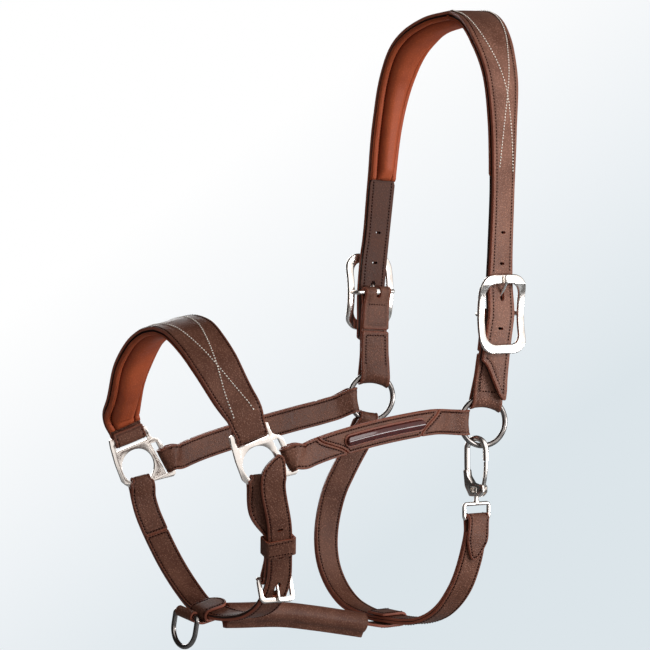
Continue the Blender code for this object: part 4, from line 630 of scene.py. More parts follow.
CHIN_LAP = 3.1
THROAT_LAP = 3.6
THROAT_MID = (-80.0, 0.0, -475.6)
THROAT_ALONG = (0.12, -0.99, -0.06)
JAW_LINE = [(-238.0, -460.4), (-225.0, -461.2), (-185.0, -463.4), (-152.0, -468.6), (-118.0, -475.0),
            (-104.5, -477.6)]
ROLL_R = 8.4
ROLL_WALL = 1.7
JAW_WAIST = 4.4
KEEPER_WALL = 1.8
D_HALF = 13.8
D_CORNER = 3.2
D_LOOP = 2.45


def throat_axes():
    """At the throat strap's lowest stretch: its middle, along it, down off its face, and rearward."""
    along = unit(vec(*THROAT_ALONG))
    down = vec(0.0, 0.0, -1.0)
    down = unit(down - (down @ along) * along)
    return vec(*THROAT_MID), along, down, np.cross(along, down)


def jaw_route():
    """Lapped round the chin strap's lowest stretch, back through the roll, and round the throat strap."""
    centre, _, down, front = junction_axes()
    centre = centre + 0.2 * down
    half = CHIN_LAP
    pts = [(centre - 13.0 * front - half * down, -down), (centre - 2.0 * front - half * down, -down)]
    pts += fold(centre + 8.4 * front, -down, front, half, half + 0.2)
    pts += [(centre - 2.0 * front + half * down, down), (centre - 11.0 * front + half * down, down)]
    pts += [(vec(x, 0.0, z), vec(0.08, 0.0, -1.0)) for x, z in JAW_LINE[1:-1]]
    centre, _, down, rear = throat_axes()
    centre = centre + 0.1 * down
    half = THROAT_LAP
    pts += [(centre - 9.0 * rear + half * down, down), (centre + half * down, down)]
    pts += fold(centre + 8.0 * rear, down, rear, half, half)
    pts += [(centre - half * down, -down), (centre - 13.0 * rear - half * down, -down)]
    return Route(pts)


THROAT_FAR = [
    (-47.4, 77.8, -335.0, 0.28, 0.96, 0.0), (-59.0, 78.9, -353.0, 0.38, 0.92, 0.0),
    (-75.5, 78.0, -380.0, 0.40, 0.91, -0.05), (-85.5, 75.0, -410.0, 0.18, 0.96, -0.15),
    (-88.6, 69.0, -434.0, 0.05, 0.92, -0.38), (-88.0, 58.0, -453.0, 0.0, 0.74, -0.67),
    (-86.0, 40.0, -467.5, 0.0, 0.42, -0.90), (-81.8, 14.0, -474.7, 0.0, 0.06, -1.0),
]
THROAT_NEAR = [
    (-78.2, 14.0, -475.8, 0.0, -0.04, -1.0), (-72.0, 34.0, -475.4, 0.0, 0.18, -0.98),
    (-65.0, 53.0, -467.0, -0.05, 0.52, -0.85), (-58.4, 67.6, -448.0, -0.15, 0.82, -0.54),
    (-52.3, 73.8, -424.0, -0.10, 0.97, -0.20), (-48.3, 75.4, -402.0, 0.0, 1.0, 0.0),
]
SNAP_LEAN = math.radians(17.0)
SNAP_TURN = math.radians(55.0)
EYE_DROP = 58.6
EYE_WIRE = 1.6
THROAT_WAIST = 7.6
HINGE = (6.0, -35.5)


def snap_axes():
    """Where the snap hangs in the near ring, and the directions across it, up it and through it."""
    h = rear_dir()
    n = plane_out(-1)
    p = math.cos(SNAP_TURN) * h + math.sin(SNAP_TURN) * n
    z = vec(0, 0, 1)
    at = ring_centre(-1) + RING_R * ring_dir(math.pi + SNAP_LEAN)
    return at, p, z, np.cross(z, p)


def throat_route():
    """Round the far cheek ring, down under the throat and up to the near side's swivel eye."""
    away = ring_dir(math.pi + THROAT_LEAN)
    wire = ring_centre(1) + RING_R * away
    far = placed(1, THROAT_FAR)
    face = Route([(p + (GAP / 2) * m, m) for p, m in far[1:] + placed(-1, THROAT_NEAR)])
    length = face.length
    over = LEATHER + 0.8
    pts = [face.layer(s, over) for s in (20.0, 12.0, 5.0)]
    pts += fold(wire, plane_out(1), -away, LOOP_SIDE, LOOP_SMALL)
    pts += [(far[0][0] - (GAP / 2) * far[0][1], -far[0][1])]
    pts += [face.layer(s, -GAP - 0.15, -1.0) for s in np.linspace(1.0, length - 1.0, 24)]
    at, _, z, _ = snap_axes()
    pts += fold(at - EYE_DROP * z, vec(0, 1, 0), z, EYE_WIRE + 0.5, EYE_WIRE + 0.5)
    pts += [face.layer(length - s, over) for s in (1.5, 8.0, 15.0, 22.0)]
    return Route(pts, -1.0), face, wire, away


# materials

def linear(colour):
    """An sRGB hex colour as linear red, green, blue and alpha."""
    parts = [int(colour[i:i + 2], 16) / 255.0 for i in (0, 2, 4)]
    return (*[c / 12.92 if c <= 0.04045 else ((c + 0.055) / 1.055) ** 2.4 for c in parts], 1.0)


def connect(mat, node, values=None, links=None):
    """Set a node's sockets: plain values, and the nodes or outputs that feed them."""
    for key, value in (values or {}).items():
        node.inputs[key].default_value = value
    for key, source in (links or {}).items():
        output = source.outputs[0] if isinstance(source, bpy.types.Node) else source
        mat.node_tree.links.new(output, node.inputs[key])
    return node


def add(mat, kind, props=None, values=None, links=None, stops=()):
    """Add one node: its properties, its sockets' values and links, and a ramp's stops as (place, colour)."""
    node = mat.node_tree.nodes.new("ShaderNode" + kind)
    for key, value in (props or {}).items():
        setattr(node, key, value)
    for k, (place, colour) in enumerate(stops):
        ramp = node.color_ramp.elements
        stop = ramp[k] if k < len(ramp) else ramp.new(place)
        stop.position, stop.color = place, linear(colour)
    return connect(mat, node, values, links)


def new_material(name):
    mat = bpy.data.materials.new(name)
    mat.use_nodes = True
    return mat, mat.node_tree.nodes["Principled BSDF"]


def per_mm(size):
    """Texture scale for a pattern of that size in millimetres, on coordinates in metres."""
    return 1.0 / (size * MM)


def leather(name, pale, dark, seam, rubbed, pebble, relief, rough, spec=0.3, painted_glint=0.3):
    """
    Dyed leather: cloudy colour, pale tops on a pebble as a painted highlight, painted shade in the stitch
    grooves in the seam tint, rubbed along its edges.
    The pebble is drawn a little coarser than life, so that it shows at this size.
    """
    mat, shader = new_material(name)
    at = add(mat, "TexCoord").outputs["Object"]
    warp = add(mat, "TexNoise", values={"Scale": per_mm(3.0), "Detail": 1.0}, links={"Vector": at})
    bent = add(mat, "VectorMath", {"operation": "MULTIPLY_ADD"}, {1: (0.9 * MM, 0.9 * MM, 0.9 * MM)},
               {0: warp.outputs["Color"], 2: at})
    cells = add(mat, "TexVoronoi", {"feature": "SMOOTH_F1"}, {"Scale": per_mm(pebble), "Smoothness": 0.6},
                {"Vector": bent})
    top = add(mat, "MapRange", {"interpolation_type": "SMOOTHSTEP"}, {1: 0.5, 2: 0.05, 3: 0.0, 4: 1.0},
              {0: cells})
    cloud = add(mat, "TexNoise", values={"Scale": per_mm(26.0), "Detail": 3.0}, links={"Vector": at})
    calm = add(mat, "Math", {"operation": "MULTIPLY_ADD"}, {1: 0.45, 2: 0.16}, {0: cloud})
    # painted highlight: the pebble tops lift the colour toward the pale tone
    level = add(mat, "Math", {"operation": "MULTIPLY_ADD"}, {1: painted_glint}, {0: top, 2: calm})
    colour = add(mat, "ValToRGB", links={"Fac": level}, stops=((0.25, dark), (0.95, pale))).outputs[0]
    # a tint for wear along the rim, then painted shade along the stitch grooves in the seam tint
    for attribute, share, tint in (("worn", 0.7, rubbed), ("groove_shade", 0.6, seam)):
        spread = add(mat, "Attribute", {"attribute_name": attribute}).outputs["Fac"]
        some = add(mat, "Math", {"operation": "MULTIPLY"}, {1: share}, {0: spread})
        colour = add(mat, "Mix", {"data_type": "RGBA"}, {7: linear(tint)}, {0: some, 6: colour}).outputs[2]
    shine = add(mat, "MapRange", values={1: 0.3, 2: 0.7, 3: rough - 0.05, 4: rough + 0.07}, links={0: cloud})
    bump = add(mat, "Bump", values={"Strength": 1.0, "Distance": relief * MM}, links={"Height": top})
    connect(mat, shader, {"Specular IOR Level": spec},
            {"Base Color": colour, "Roughness": shine, "Normal": bump})
    return mat


def pebbled_brown_leather():
    """Chrome tanned, printed with a fine pebble and finished satin; each pebble's top carries a small soft
    painted highlight.
    """
    return leather("pebbled brown leather", pale="a67560", dark="4e2c21", seam="30130c", rubbed="8a4a37",
                   pebble=1.5, relief=0.17, rough=0.42, spec=0.16, painted_glint=0.27)


def brown_leather_painted_lighter():
    """A lighter copy of the same leather for the crown strap and its near chape: painted light, where the key
    light falls on the near side.
    """
    return leather("pebbled brown leather, painted lighter", pale="bb8873", dark="5f3a2d", seam="34150d",
                   rubbed="95533f", pebble=1.5, relief=0.17, rough=0.41, spec=0.2, painted_glint=0.3)


def smooth_brown_lining():
    """The same hide's smooth side: nearly no grain, a dull even surface."""
    return leather("smooth brown lining leather", pale="744a3a", dark="42251b", seam="2c130c",
                   rubbed="5c3428", pebble=1.6, relief=0.1, rough=0.48, spec=0.15, painted_glint=0.26)


def soft_rust_leather():
    """Aniline nappa in rust: fine grain, dry touch, cloudy colour."""
    return leather("soft rust nappa leather", pale="e27243", dark="a0482a", seam="4a140a", rubbed="b85a40",
                   pebble=1.6, relief=0.08, rough=0.48, spec=0.22, painted_glint=0.16)


def rust_brown_piping():
    """The trim's border: nappa dyed between the rust and the brown, rolled over a cord."""
    return leather("rust brown nappa piping", pale="a2604a", dark="6d3829", seam="3a120a", rubbed="8a5040",
                   pebble=1.2, relief=0.05, rough=0.45, spec=0.25, painted_glint=0.2)


def painted_edge():
    """Cut edge sealed with edge paint: smoother and redder than the face."""
    return leather("painted leather edge", pale="a9604b", dark="84432f", seam="54241b", rubbed="a9604b",
                   pebble=0.7, relief=0.03, rough=0.42)


def raw_edge():
    """Edge of the lining, nearly black and rubbed with wax."""
    return leather("nearly black lining edge", pale="3a2219", dark="24150f", seam="22130e", rubbed="3a2219",
                   pebble=0.7, relief=0.03, rough=0.5)


def maroon_patent():
    """Lacquered leather: a deep colour under a clear hard gloss, with a slow swell in the lacquer."""
    mat, shader = new_material("maroon patent leather")
    at = add(mat, "TexCoord").outputs["Object"]
    cloud = add(mat, "TexNoise", values={"Scale": per_mm(9.0), "Detail": 2.0}, links={"Vector": at})
    colour = add(mat, "ValToRGB", links={"Fac": cloud}, stops=((0.0, "2c0807"), (1.0, "571612")))
    swell = add(mat, "Bump", values={"Strength": 0.5, "Distance": 0.1 * MM}, links={"Height": cloud})
    connect(mat, shader, {"Roughness": 0.35, "Specular IOR Level": 0.1, "Coat Weight": 0.75,
                          "Coat Roughness": 0.05}, {"Base Color": colour, "Normal": swell})
    return mat


def metal(name, pale, dark, rough, scratch):
    """Polished plate: long faint scratches and a little uneven tarnish."""
    mat, shader = new_material(name)
    at = add(mat, "TexCoord").outputs["Object"]
    cloud = add(mat, "TexNoise", values={"Scale": per_mm(7.0), "Detail": 3.0}, links={"Vector": at})
    colour = add(mat, "ValToRGB", links={"Fac": cloud}, stops=((0.3, dark), (0.62, pale)))
    stretch = add(mat, "Mapping", values={"Scale": (1.0, 0.12, 1.0), "Rotation": (0.3, 0.5, 0.2)},
                  links={"Vector": at})
    lines = add(mat, "TexNoise", values={"Scale": per_mm(0.6), "Detail": 1.0}, links={"Vector": stretch})
    shine = add(mat, "MapRange", values={1: 0.35, 2: 0.75, 3: rough, 4: rough + 0.1}, links={0: cloud})
    bump = add(mat, "Bump", values={"Strength": scratch, "Distance": 0.02 * MM}, links={"Height": lines})
    connect(mat, shader, {"Metallic": 1.0}, {"Base Color": colour, "Roughness": shine, "Normal": bump})
    return mat


def polished_nickel():
    """Nickel plated over a zinc casting: warm, nearly white, mirror bright."""
    return metal("polished nickel plate", pale="f8f3ee", dark="ece5df", rough=0.14, scratch=0.03)


def polished_steel():
    """Stainless wire, welded and tumbled: greyer than nickel, softer reflections."""
    return metal("tumbled stainless steel", pale="9c9794", dark="827d7b", rough=0.16, scratch=0.25)


def waxed_thread(name, pale, dark):
    """Waxed polyester thread: two plies twisted, so each stitch has a slanted groove."""
    mat, shader = new_material(name)
    at = add(mat, "TexCoord").outputs["Object"]
    cloud = add(mat, "TexNoise", values={"Scale": per_mm(2.2), "Detail": 1.0}, links={"Vector": at})
    colour = add(mat, "ValToRGB", links={"Fac": cloud}, stops=((0.35, dark), (0.65, pale)))
    ply = add(mat, "TexWave", {"bands_direction": "DIAGONAL"}, {"Scale": per_mm(2.4), "Distortion": 1.0},
              {"Vector": at})
    bump = add(mat, "Bump", values={"Strength": 0.4, "Distance": 0.1 * MM}, links={"Height": ply.outputs[1]})
    connect(mat, shader, {"Roughness": 0.7, "Specular IOR Level": 0.08},
            {"Base Color": colour, "Normal": bump})
    return mat


BROWN = pebbled_brown_leather()
BROWN_PAINTED_LIGHTER = brown_leather_painted_lighter()
LINED = smooth_brown_lining()
RUST = soft_rust_leather()
PIPING = rust_brown_piping()
EDGE = painted_edge()
DARK_EDGE = raw_edge()
PATENT = maroon_patent()
NICKEL = polished_nickel()
STEEL = polished_steel()
WHITE_THREAD = waxed_thread("waxed white thread", "fff8ee", "f6ecdf")
DARK_THREAD = waxed_thread("waxed dark brown thread", "35120b", "240a06")


# making pieces

def piece(name, bm, materials, nodes, angle=38.0):
    """Turn a bmesh in millimetres into a smooth-shaded piece that rides with the CAD nodes it stands for."""
    bmesh.ops.scale(bm, verts=bm.verts, vec=(MM, MM, MM))
    mesh = bpy.data.meshes.new(name)
    bm.to_mesh(mesh)
    bm.free()
    for mat in materials:
        mesh.materials.append(mat)
    mesh.shade_smooth()
    mesh.set_sharp_from_angle(angle=math.radians(angle))
    ob = linked(name, mesh)
    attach(ob, frame["nodes"][nodes[0]]["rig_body"])
    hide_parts(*nodes)
    return ob


def metal_piece(node, bm, axes, mat=NICKEL):
    """A metal shape drawn in its own axes, stood in the frame as the piece of its CAD node."""
    stand(bm, *axes)
    piece(node + "_metal", bm, [mat], [node])


def cut(bm, co, no):
    """Add a row of edges across a shape, so that it can bend there."""
    geom = bm.verts[:] + bm.edges[:] + bm.faces[:]
    bmesh.ops.bisect_plane(bm, geom=geom, plane_co=co, plane_no=no, dist=0.01)


def thicken(bm, faces, height):
    """Raise a copy of flat faces and close the sides."""
    made = bmesh.ops.extrude_face_region(bm, geom=faces)["geom"]
    bmesh.ops.translate(bm, verts=[g for g in made if isinstance(g, bmesh.types.BMVert)], vec=(0, 0, height))


def plate(points, z0, z1):
    """A flat plate from its outline."""
    bm = bmesh.new()
    face = bm.faces.new([bm.verts.new((x, y, z0)) for x, y in clean_outline(points, 0.01)])
    thicken(bm, [face], z1 - z0)
    bmesh.ops.recalc_face_normals(bm, faces=bm.faces)
    return bm


def box(x0, x1, y0, y1):
    """Corners of a rectangle."""
    return [(x0, y0), (x1, y0), (x1, y1), (x0, y1)]


def arc(radius, angles):
    """Points round a circle at angles in degrees."""
    return [(radius * math.cos(a), radius * math.sin(a)) for a in np.radians(angles)]


def paint_ends(bm, down=-math.inf):
    """Give the second material to a tube's cut ends, and to what lies lower than a height."""
    bm.normal_update()
    for f in bm.faces:
        f.material_index = 1 if abs(f.normal.z) > 0.6 or f.calc_center_median().y < down else 0


def round_edges(bm, size, segments=2, angle=1.0):
    edges = [e for e in bm.edges if len(e.link_faces) == 2 and e.calc_face_angle(0.0) > angle]
    bmesh.ops.bevel(bm, geom=edges, offset=size, segments=segments, affect="EDGES", profile=0.5,
                    material=-1, clamp_overlap=True)


def punch(bm, outlines, z0, z1):
    """Cut holes of those outlines through a plate."""
    if not outlines:
        return bm
    tool = bmesh.new()
    for points in outlines:
        join(tool, plate(points, min(z0, z1) - 1.0, max(z0, z1) + 1.0))
    return boolean(bm, tool, "DIFFERENCE")


def bend(bm, route, saddles=()):
    """Move a flat strap, drawn as (along, across, height), onto its route."""
    flat = np.array([v.co for v in bm.verts])
    s, w, t = flat.T

    def at(A):
        return np.stack([np.interp(s, route.s, A[:, k]) for k in range(3)], axis=1)

    P = at(route.P) + w[:, None] * at(route.W) + t[:, None] * at(route.N)
    P += np.minimum(s, 0.0)[:, None] * route.T[0] + np.maximum(s - route.length, 0.0)[:, None] * route.T[-1]
    for centre, radius, reach, fade, toward in saddles:
        off = np.maximum(0.0, np.abs(s - centre) - reach)
        k = np.where(off < fade, 0.5 + 0.5 * np.cos(np.pi * off / fade), 0.0)
        P += (k * (radius - np.sqrt(radius ** 2 - w ** 2)))[:, None] * toward
    for v, p in zip(bm.verts, P):
        v.co = p


def soft_step(u):
    """A soft step from 0 to 1."""
    return u * u * (3.0 - 2.0 * u)


class Shape:
    """Flat shape of a strap: half widths along it, and how far each end falls back from its tip."""

    def __init__(self, s0, s1, widths, start="square", end="square", corner=1.6):
        if not isinstance(widths, (list, tuple)):
            widths = [(s0, widths), (s1, widths)]
        self.s0, self.s1 = self.tips = s0, s1
        self.ws, self.hs = [p[0] for p in widths], [p[1] for p in widths]
        self.kinds = (start, end)
        self.corner = corner

    def half(self, s):
        return np.interp(s, self.ws, self.hs)

    def fall(self, end, w):
        """How far an end (0 or 1) falls back at places across; a number stands for a sewn flap's sweep."""
        kind = self.kinds[end]
        half = float(self.half(self.tips[end]))
        x = np.clip(np.asarray(w, float) / half, -1.0, 1.0)
        if kind == "round":
            return half * (1.0 - np.sqrt(1.0 - x * x))
        if kind == "point":
            back = 1.6 * half * (1.0 - np.cos(0.5 * math.pi * np.abs(x)))
        elif kind == "diagonal":
            back = 1.15 * half * (1.0 - np.sin(0.5 * math.pi * x))
        elif kind == "square":
            back = 0.0 * x
        else:
            f = soft_step(0.5 * (1.0 + x))
            back = abs(kind) * (1.0 - f if kind > 0.0 else f)
        close = np.clip(self.corner - half * (1.0 - np.abs(x)), 0.0, self.corner)
        return back + self.corner - np.sqrt(self.corner ** 2 - close ** 2)

    def steepness(self, end, w):
        w = np.asarray(w, float)
        return np.sqrt(1.0 + ((self.fall(end, w + 0.2) - self.fall(end, w - 0.2)) / 0.4) ** 2)

    def inside(self, s, w):
        """Distance in from the nearest cut edge."""
        d = self.half(s) - np.abs(w)
        d = np.minimum(d, (s - self.s0 - self.fall(0, w)) / self.steepness(0, w))
        return np.minimum(d, (self.s1 - self.fall(1, w) - s) / self.steepness(1, w))

    def side_line(self, sign, inset, lo=None, hi=None):
        """A line along one side, set in from the edge."""
        w0 = sign * (float(self.half(self.s0)) - inset)
        w1 = sign * (float(self.half(self.s1)) - inset)
        lo = self.s0 + float(self.fall(0, w0)) + inset if lo is None else lo
        hi = self.s1 - float(self.fall(1, w1)) - inset if hi is None else hi
        spots = np.linspace(lo, hi, max(2, int((hi - lo) / 4.0)))
        return [(s, sign * (float(self.half(s)) - inset)) for s in spots]

    def end_line(self, end, inset):
        """A line across one end, set in from the edge."""
        half = float(self.half(self.tips[end])) - inset
        across = np.linspace(-half, half, 25)
        back = self.fall(end, across) + inset * self.steepness(end, across)
        return list(zip(self.s0 + back if end == 0 else self.s1 - back, across))


# how a strap's grid is spaced in from its rim and over its middle, and where its stitch grooves lie

RIM_STEPS = (0.0, 0.15, 0.4, 0.8, 1.3, 1.7, 2.1, 2.5, 3.0, 4.0)
INNER_STEPS = (-0.8, -0.6, -0.4, -0.2, 0.0, 0.2, 0.4, 0.6, 0.8)
GROOVE_WIDE = 0.55
GROOVE_DEEP = 0.3
EDGE_SEAM = 2.1
SEAM_IN = 3.5
SMALL_SEAM_IN = 2.2


def rounded(d, radius):
    """Drop of a rounded edge at a distance in from the rim."""
    close = np.clip(radius - d, 0.0, radius)
    return radius - np.sqrt(radius * radius - close * close)


def strip(shape, route, t0, t1, groove, dome, edge):
    """The flat strap: two grids joined round the rim, edges rounded, stitch groove sunk, middle full."""
    steps = tuple(d * min(1.0, 0.75 * min(shape.hs) / RIM_STEPS[-1]) for d in RIM_STEPS)
    rim = steps[-1]
    between = [s for s in route.stations(shape.s0, shape.s1)
               if shape.s0 + rim + 0.6 < s < shape.s1 - rim - 0.6]
    cols = np.array([shape.s0 + d for d in steps] + between + [shape.s1 - d for d in steps[::-1]])
    from_edge = np.array(steps + (rim,) * len(INNER_STEPS) + steps[::-1])
    share = np.array((-1.0,) * len(steps) + INNER_STEPS + (1.0,) * len(steps))
    bm = bmesh.new()
    bmesh.ops.create_grid(bm, x_segments=len(cols) - 1, y_segments=len(share) - 1, size=1.0)
    thicken(bm, bm.faces[:], 1.0)
    grid = np.array([v.co for v in bm.verts])
    i = np.rint((grid[:, 0] * 0.5 + 0.5) * (len(cols) - 1)).astype(int)
    j = np.rint((grid[:, 1] * 0.5 + 0.5) * (len(share) - 1)).astype(int)
    c = cols[i]
    w = share[j] * (shape.half(c) - from_edge[j])
    s = c.copy()
    for end, sign in ((0, 1.0), (1, -1.0)):
        fall = shape.fall(end, w)
        reach = min(1.7 * float(fall.max()) + 6.0, 0.5 * (shape.s1 - shape.s0))
        s += sign * fall * (1.0 - soft_step(np.clip(np.abs(c - shape.tips[end]) / reach, 0.0, 1.0)))
    d = np.maximum(shape.inside(s, w), 0.0)
    up = 1.0 if t1 > t0 else -1.0
    face = t1 - up * rounded(d, edge) + up * dome * (1.0 - (w / shape.half(s)) ** 2)
    if groove:
        face -= up * GROOVE_DEEP * np.exp(-((d - groove) / GROOVE_WIDE) ** 2)
    back = t0 + up * rounded(d, 0.5 * edge)
    z = np.where(grid[:, 2] > 0.5, face, back)
    for v, co in zip(bm.verts, np.stack([s, w, z], axis=1)):
        v.co = co
    bmesh.ops.recalc_face_normals(bm, faces=bm.faces)
    return bm


def strap(node, route, shape, t0, t1, face=BROWN, holes=(), groove=EDGE_SEAM, dome=0.0,
          saddles=(), edge=0.6, rim=EDGE):
    """Cut a strap flat, punch it, mark its rim for wear and its stitch groove for painted shade, and bend it
    along its route.
    """
    bm = punch(strip(shape, route, t0, t1, groove, dome, edge), holes, t0, t1)
    bm.normal_update()
    for f in bm.faces:
        f.material_index = 1 if abs(f.normal.z) < 0.5 else 0
    flat = np.array([v.co for v in bm.verts])
    d = shape.inside(flat[:, 0], flat[:, 1])
    # painted shade along the stitch groove; a worn tint fading in from the cut edge
    groove_shade = np.exp(-((d - groove) / 0.6) ** 2) if groove else 0.0 * d
    worn = np.exp(-np.maximum(d, 0.0) / 0.9)
    uv = bm.loops.layers.uv.new("strap")
    for f in bm.faces:
        for loop in f.loops:
            loop[uv].uv = (loop.vert.co.x * MM, loop.vert.co.y * MM)
    for key, values in (("groove_shade", groove_shade), ("worn", worn)):
        layer = bm.verts.layers.float.new(key)
        for v, value in zip(bm.verts, values):
            v[layer] = value
    bend(bm, route, saddles)
    bmesh.ops.recalc_face_normals(bm, faces=bm.faces)
    piece(node + ("_patent" if face is PATENT else "_leather"), bm, [face, rim], [node])


# a stitch's spacing, length, thickness, slant and height; decorative ones are thicker and stand higher

STITCH_PITCH = 2.5
STITCH_LENGTH = 1.65
STITCH_R = 0.55
STITCH_SLANT = 0.10
STITCH_LIFT = 0.1
FANCY_R = 0.58
FANCY_LIFT = 0.42
white_rows = []
dark_rows = []
rust_rows = []


def stitches(rows, route, line, t, radius=STITCH_R):
    """Lock stitches along a line of (along, across) on the face at that height, kept as placings."""
    line = np.array(line, float)
    run = np.concatenate([[0.0], np.cumsum(np.linalg.norm(np.diff(line, axis=0), axis=1))])
    up = 1.0 if t > 0.0 else -1.0
    for k in range(int(run[-1] / STITCH_PITCH)):
        d = (k + 0.5) * STITCH_PITCH
        (s, ahead), (w, across) = ((np.interp(d, run, column), np.interp(d + 0.5, run, column))
                                   for column in line.T)
        N = unit(route.pick(route.N, s)) * up
        along = unit((ahead - s) * route.pick(route.T, s) + (across - w) * route.pick(route.W, s))
        along = unit(along + STITCH_SLANT * np.cross(N, along))
        side = np.cross(N, along)
        place = route.place(s, w, t + STITCH_LIFT * up)
        rows.append(np.column_stack([along * STITCH_LENGTH / 2, side * radius, N * radius * 0.8, place]))


def sewn(route, shape, t, lo=None, hi=None, ends=(), inset=EDGE_SEAM, rows=dark_rows):
    """Stitches along both sides between two places, and across the ends that are named."""
    for sign in (1.0, -1.0):
        stitches(rows, route, shape.side_line(sign, inset, lo, hi), t)
    for end in ends:
        stitches(rows, route, shape.end_line(end, inset), t)


def wire(points, radius, closed=False, sides=5):
    """Round wire along a line of points, made from a bevelled curve; radius is a number or one per point."""
    curve = bpy.data.curves.new("wire", "CURVE")
    curve.dimensions = "3D"
    curve.bevel_depth = 1.0
    curve.bevel_resolution = sides
    curve.use_fill_caps = True
    spline = curve.splines.new("POLY")
    spline.points.add(len(points) - 1)
    radii = radius if isinstance(radius, (list, tuple)) else [radius] * len(points)
    for q, p, r in zip(spline.points, points, radii):
        q.co = (*p, 1.0)
        q.radius = r
    spline.use_cyclic_u = closed
    ob = linked("wire", curve)
    bm = bmesh.new()
    bm.from_mesh(ob.evaluated_get(bpy.context.evaluated_depsgraph_get()).to_mesh())
    bpy.data.objects.remove(ob, do_unlink=True)
    bmesh.ops.remove_doubles(bm, verts=bm.verts, dist=0.001)
    bmesh.ops.recalc_face_normals(bm, faces=bm.faces)
    return bm


def join(bm, other):
    """Put one bmesh's faces into another."""
    mesh = bpy.data.meshes.new("work")
    other.to_mesh(mesh)
    other.free()
    bm.from_mesh(mesh)
    bpy.data.meshes.remove(mesh)
    return bm


def stand(bm, origin, x_dir, y_dir, z_dir):
    """Put a bmesh drawn in its own axes into the shared frame."""
    m = Matrix([(x_dir[k], y_dir[k], z_dir[k], origin[k]) for k in range(3)] + [(0, 0, 0, 1)])
    bmesh.ops.transform(bm, matrix=m, verts=bm.verts)
    bmesh.ops.recalc_face_normals(bm, faces=bm.faces)


def spun(bm, steps):
    """Spin what is drawn in a bmesh once round the y axis and close it."""
    bmesh.ops.spin(bm, geom=bm.verts[:] + bm.edges[:], cent=(0, 0, 0), axis=(0, 1, 0), angle=2 * math.pi,
                   steps=steps, use_merge=True)
    bmesh.ops.remove_doubles(bm, verts=bm.verts, dist=0.01)
    bmesh.ops.recalc_face_normals(bm, faces=bm.faces)
    return bm


def turned(profile, steps=24):
    """A solid turned from a profile of (radius, height)."""
    bm = bmesh.new()
    verts = [bm.verts.new((r, y, 0.0)) for r, y in profile]
    for pair in zip(verts, verts[1:]):
        bm.edges.new(pair)
    return spun(bm, steps)


# crown, noseband and their pads

# half section of a pad from the rim inward: an angle round the rim, a share of the border, then of the panel
PAD_SECTION = ([("wrap", a) for a in (-1.0, 0.0, 30.0, 60.0, 90.0)]
               + [("border", f) for f in (0.62, 0.5, 0.35, 0.22, 0.14, 0.07, 0.0)]
               + [("panel", f)
                  for f in (1.0, 0.985, 0.965, 0.93, 0.88, 0.8, 0.7, 0.58, 0.44, 0.3, 0.15, 0.0)])
PAD_IN = 0.25
PAD_ROLL = 1.3
PAD_END_EASE = 12.0
SEAM_DEEP = 1.3
# soft creases of the stuffing: depth, length, width, and which layer of the noise (0 takes the pad's rise)
PAD_CREASES = ((0.28, 9.0, 26.0, 0.0), (0.16, 4.0, 14.0, 7.0))


def pad(prefix, route, widths, rise):
    """Stuffed cover: a flat sewn border, a seam groove, then the panel swelling over the foam."""
    s0, s1 = route.pad
    ws, hs = np.transpose(widths)
    along = int((s1 - s0) / 2.0)
    last = len(PAD_SECTION) - 1
    bm = bmesh.new()
    bmesh.ops.create_grid(bm, x_segments=along, y_segments=2 * last, size=1.0)
    base = PAD_BASE + PAD_SKIN
    skin_top = base - 0.2
    groove_shade = bm.verts.layers.float.new("groove_shade")
    for v in bm.verts:
        s = s0 + (s1 - s0) * (v.co.x * 0.5 + 0.5)
        k = round((v.co.y * 0.5 + 0.5) * 2 * last) - last
        hand = 1.0 if k > 0 else -1.0
        kind, place = PAD_SECTION[last - abs(k)]
        half = float(np.interp(s, ws, hs)) - PAD_IN
        seam = half - PAD_BORDER
        end = min(s - s0, s1 - s)
        if kind == "wrap":
            a = math.radians(place)
            w = half - PAD_ROLL + PAD_ROLL * math.cos(a)
            t = skin_top - 1.4 + 1.4 * math.sin(a) if place > 0.0 else PAD_BASE - 1.6
        elif kind == "border":
            w = seam + place * PAD_BORDER
            t = skin_top + 0.5 * math.sin(math.pi * min(1.0, place * 1.1)) - 1.1 * math.exp(-place / 0.12)
        else:
            w = place * (seam - 0.35)
            lift = math.sin(0.5 * math.pi * min(1.0, end / PAD_END_EASE))
            swell = (1.0 - place ** 3.4) ** 0.62
            t = base - SEAM_DEEP + (rise - base + SEAM_DEEP) * swell * (0.35 + 0.65 * lift)
            for depth, long, wide, layer in PAD_CREASES:
                t += swell * depth * noise.noise(Vector((s / long, w * hand / wide, layer or rise)))
        # painted shade along the seam groove between border and panel
        v[groove_shade] = math.exp(-((w - seam) / 0.8) ** 2)
        t -= 0.8 * max(0.0, 1.0 - end) ** 2
        v.co = (s, w * hand, -t)
    bend(bm, route)
    bmesh.ops.recalc_face_normals(bm, faces=bm.faces)
    mid = (s0 + s1) / 2.0
    middle = Vector(route.place(mid, 0.0, -rise))
    near = min(bm.faces, key=lambda f: (f.calc_center_median() - middle).length)
    if near.normal.dot(Vector(route.pick(route.N, mid))) > 0.0:
        bmesh.ops.reverse_faces(bm, faces=bm.faces)
    ob = piece(prefix + "_pad", bm, [RUST], [prefix + "_pad_cover", prefix + "_foam"], 60.0)
    skin = ob.modifiers.new("skin", "SOLIDIFY")
    skin.thickness = PAD_SKIN * MM
    skin.offset = -1.0
    border = Shape(s0, s1, [(s, h - PAD_IN) for s, h in widths])
    sewn(route, border, -base + 0.75, s0 + 1.5, s1 - 1.5, inset=PAD_BORDER - 0.35, rows=rust_rows)


PAD_TUCK = 1.7


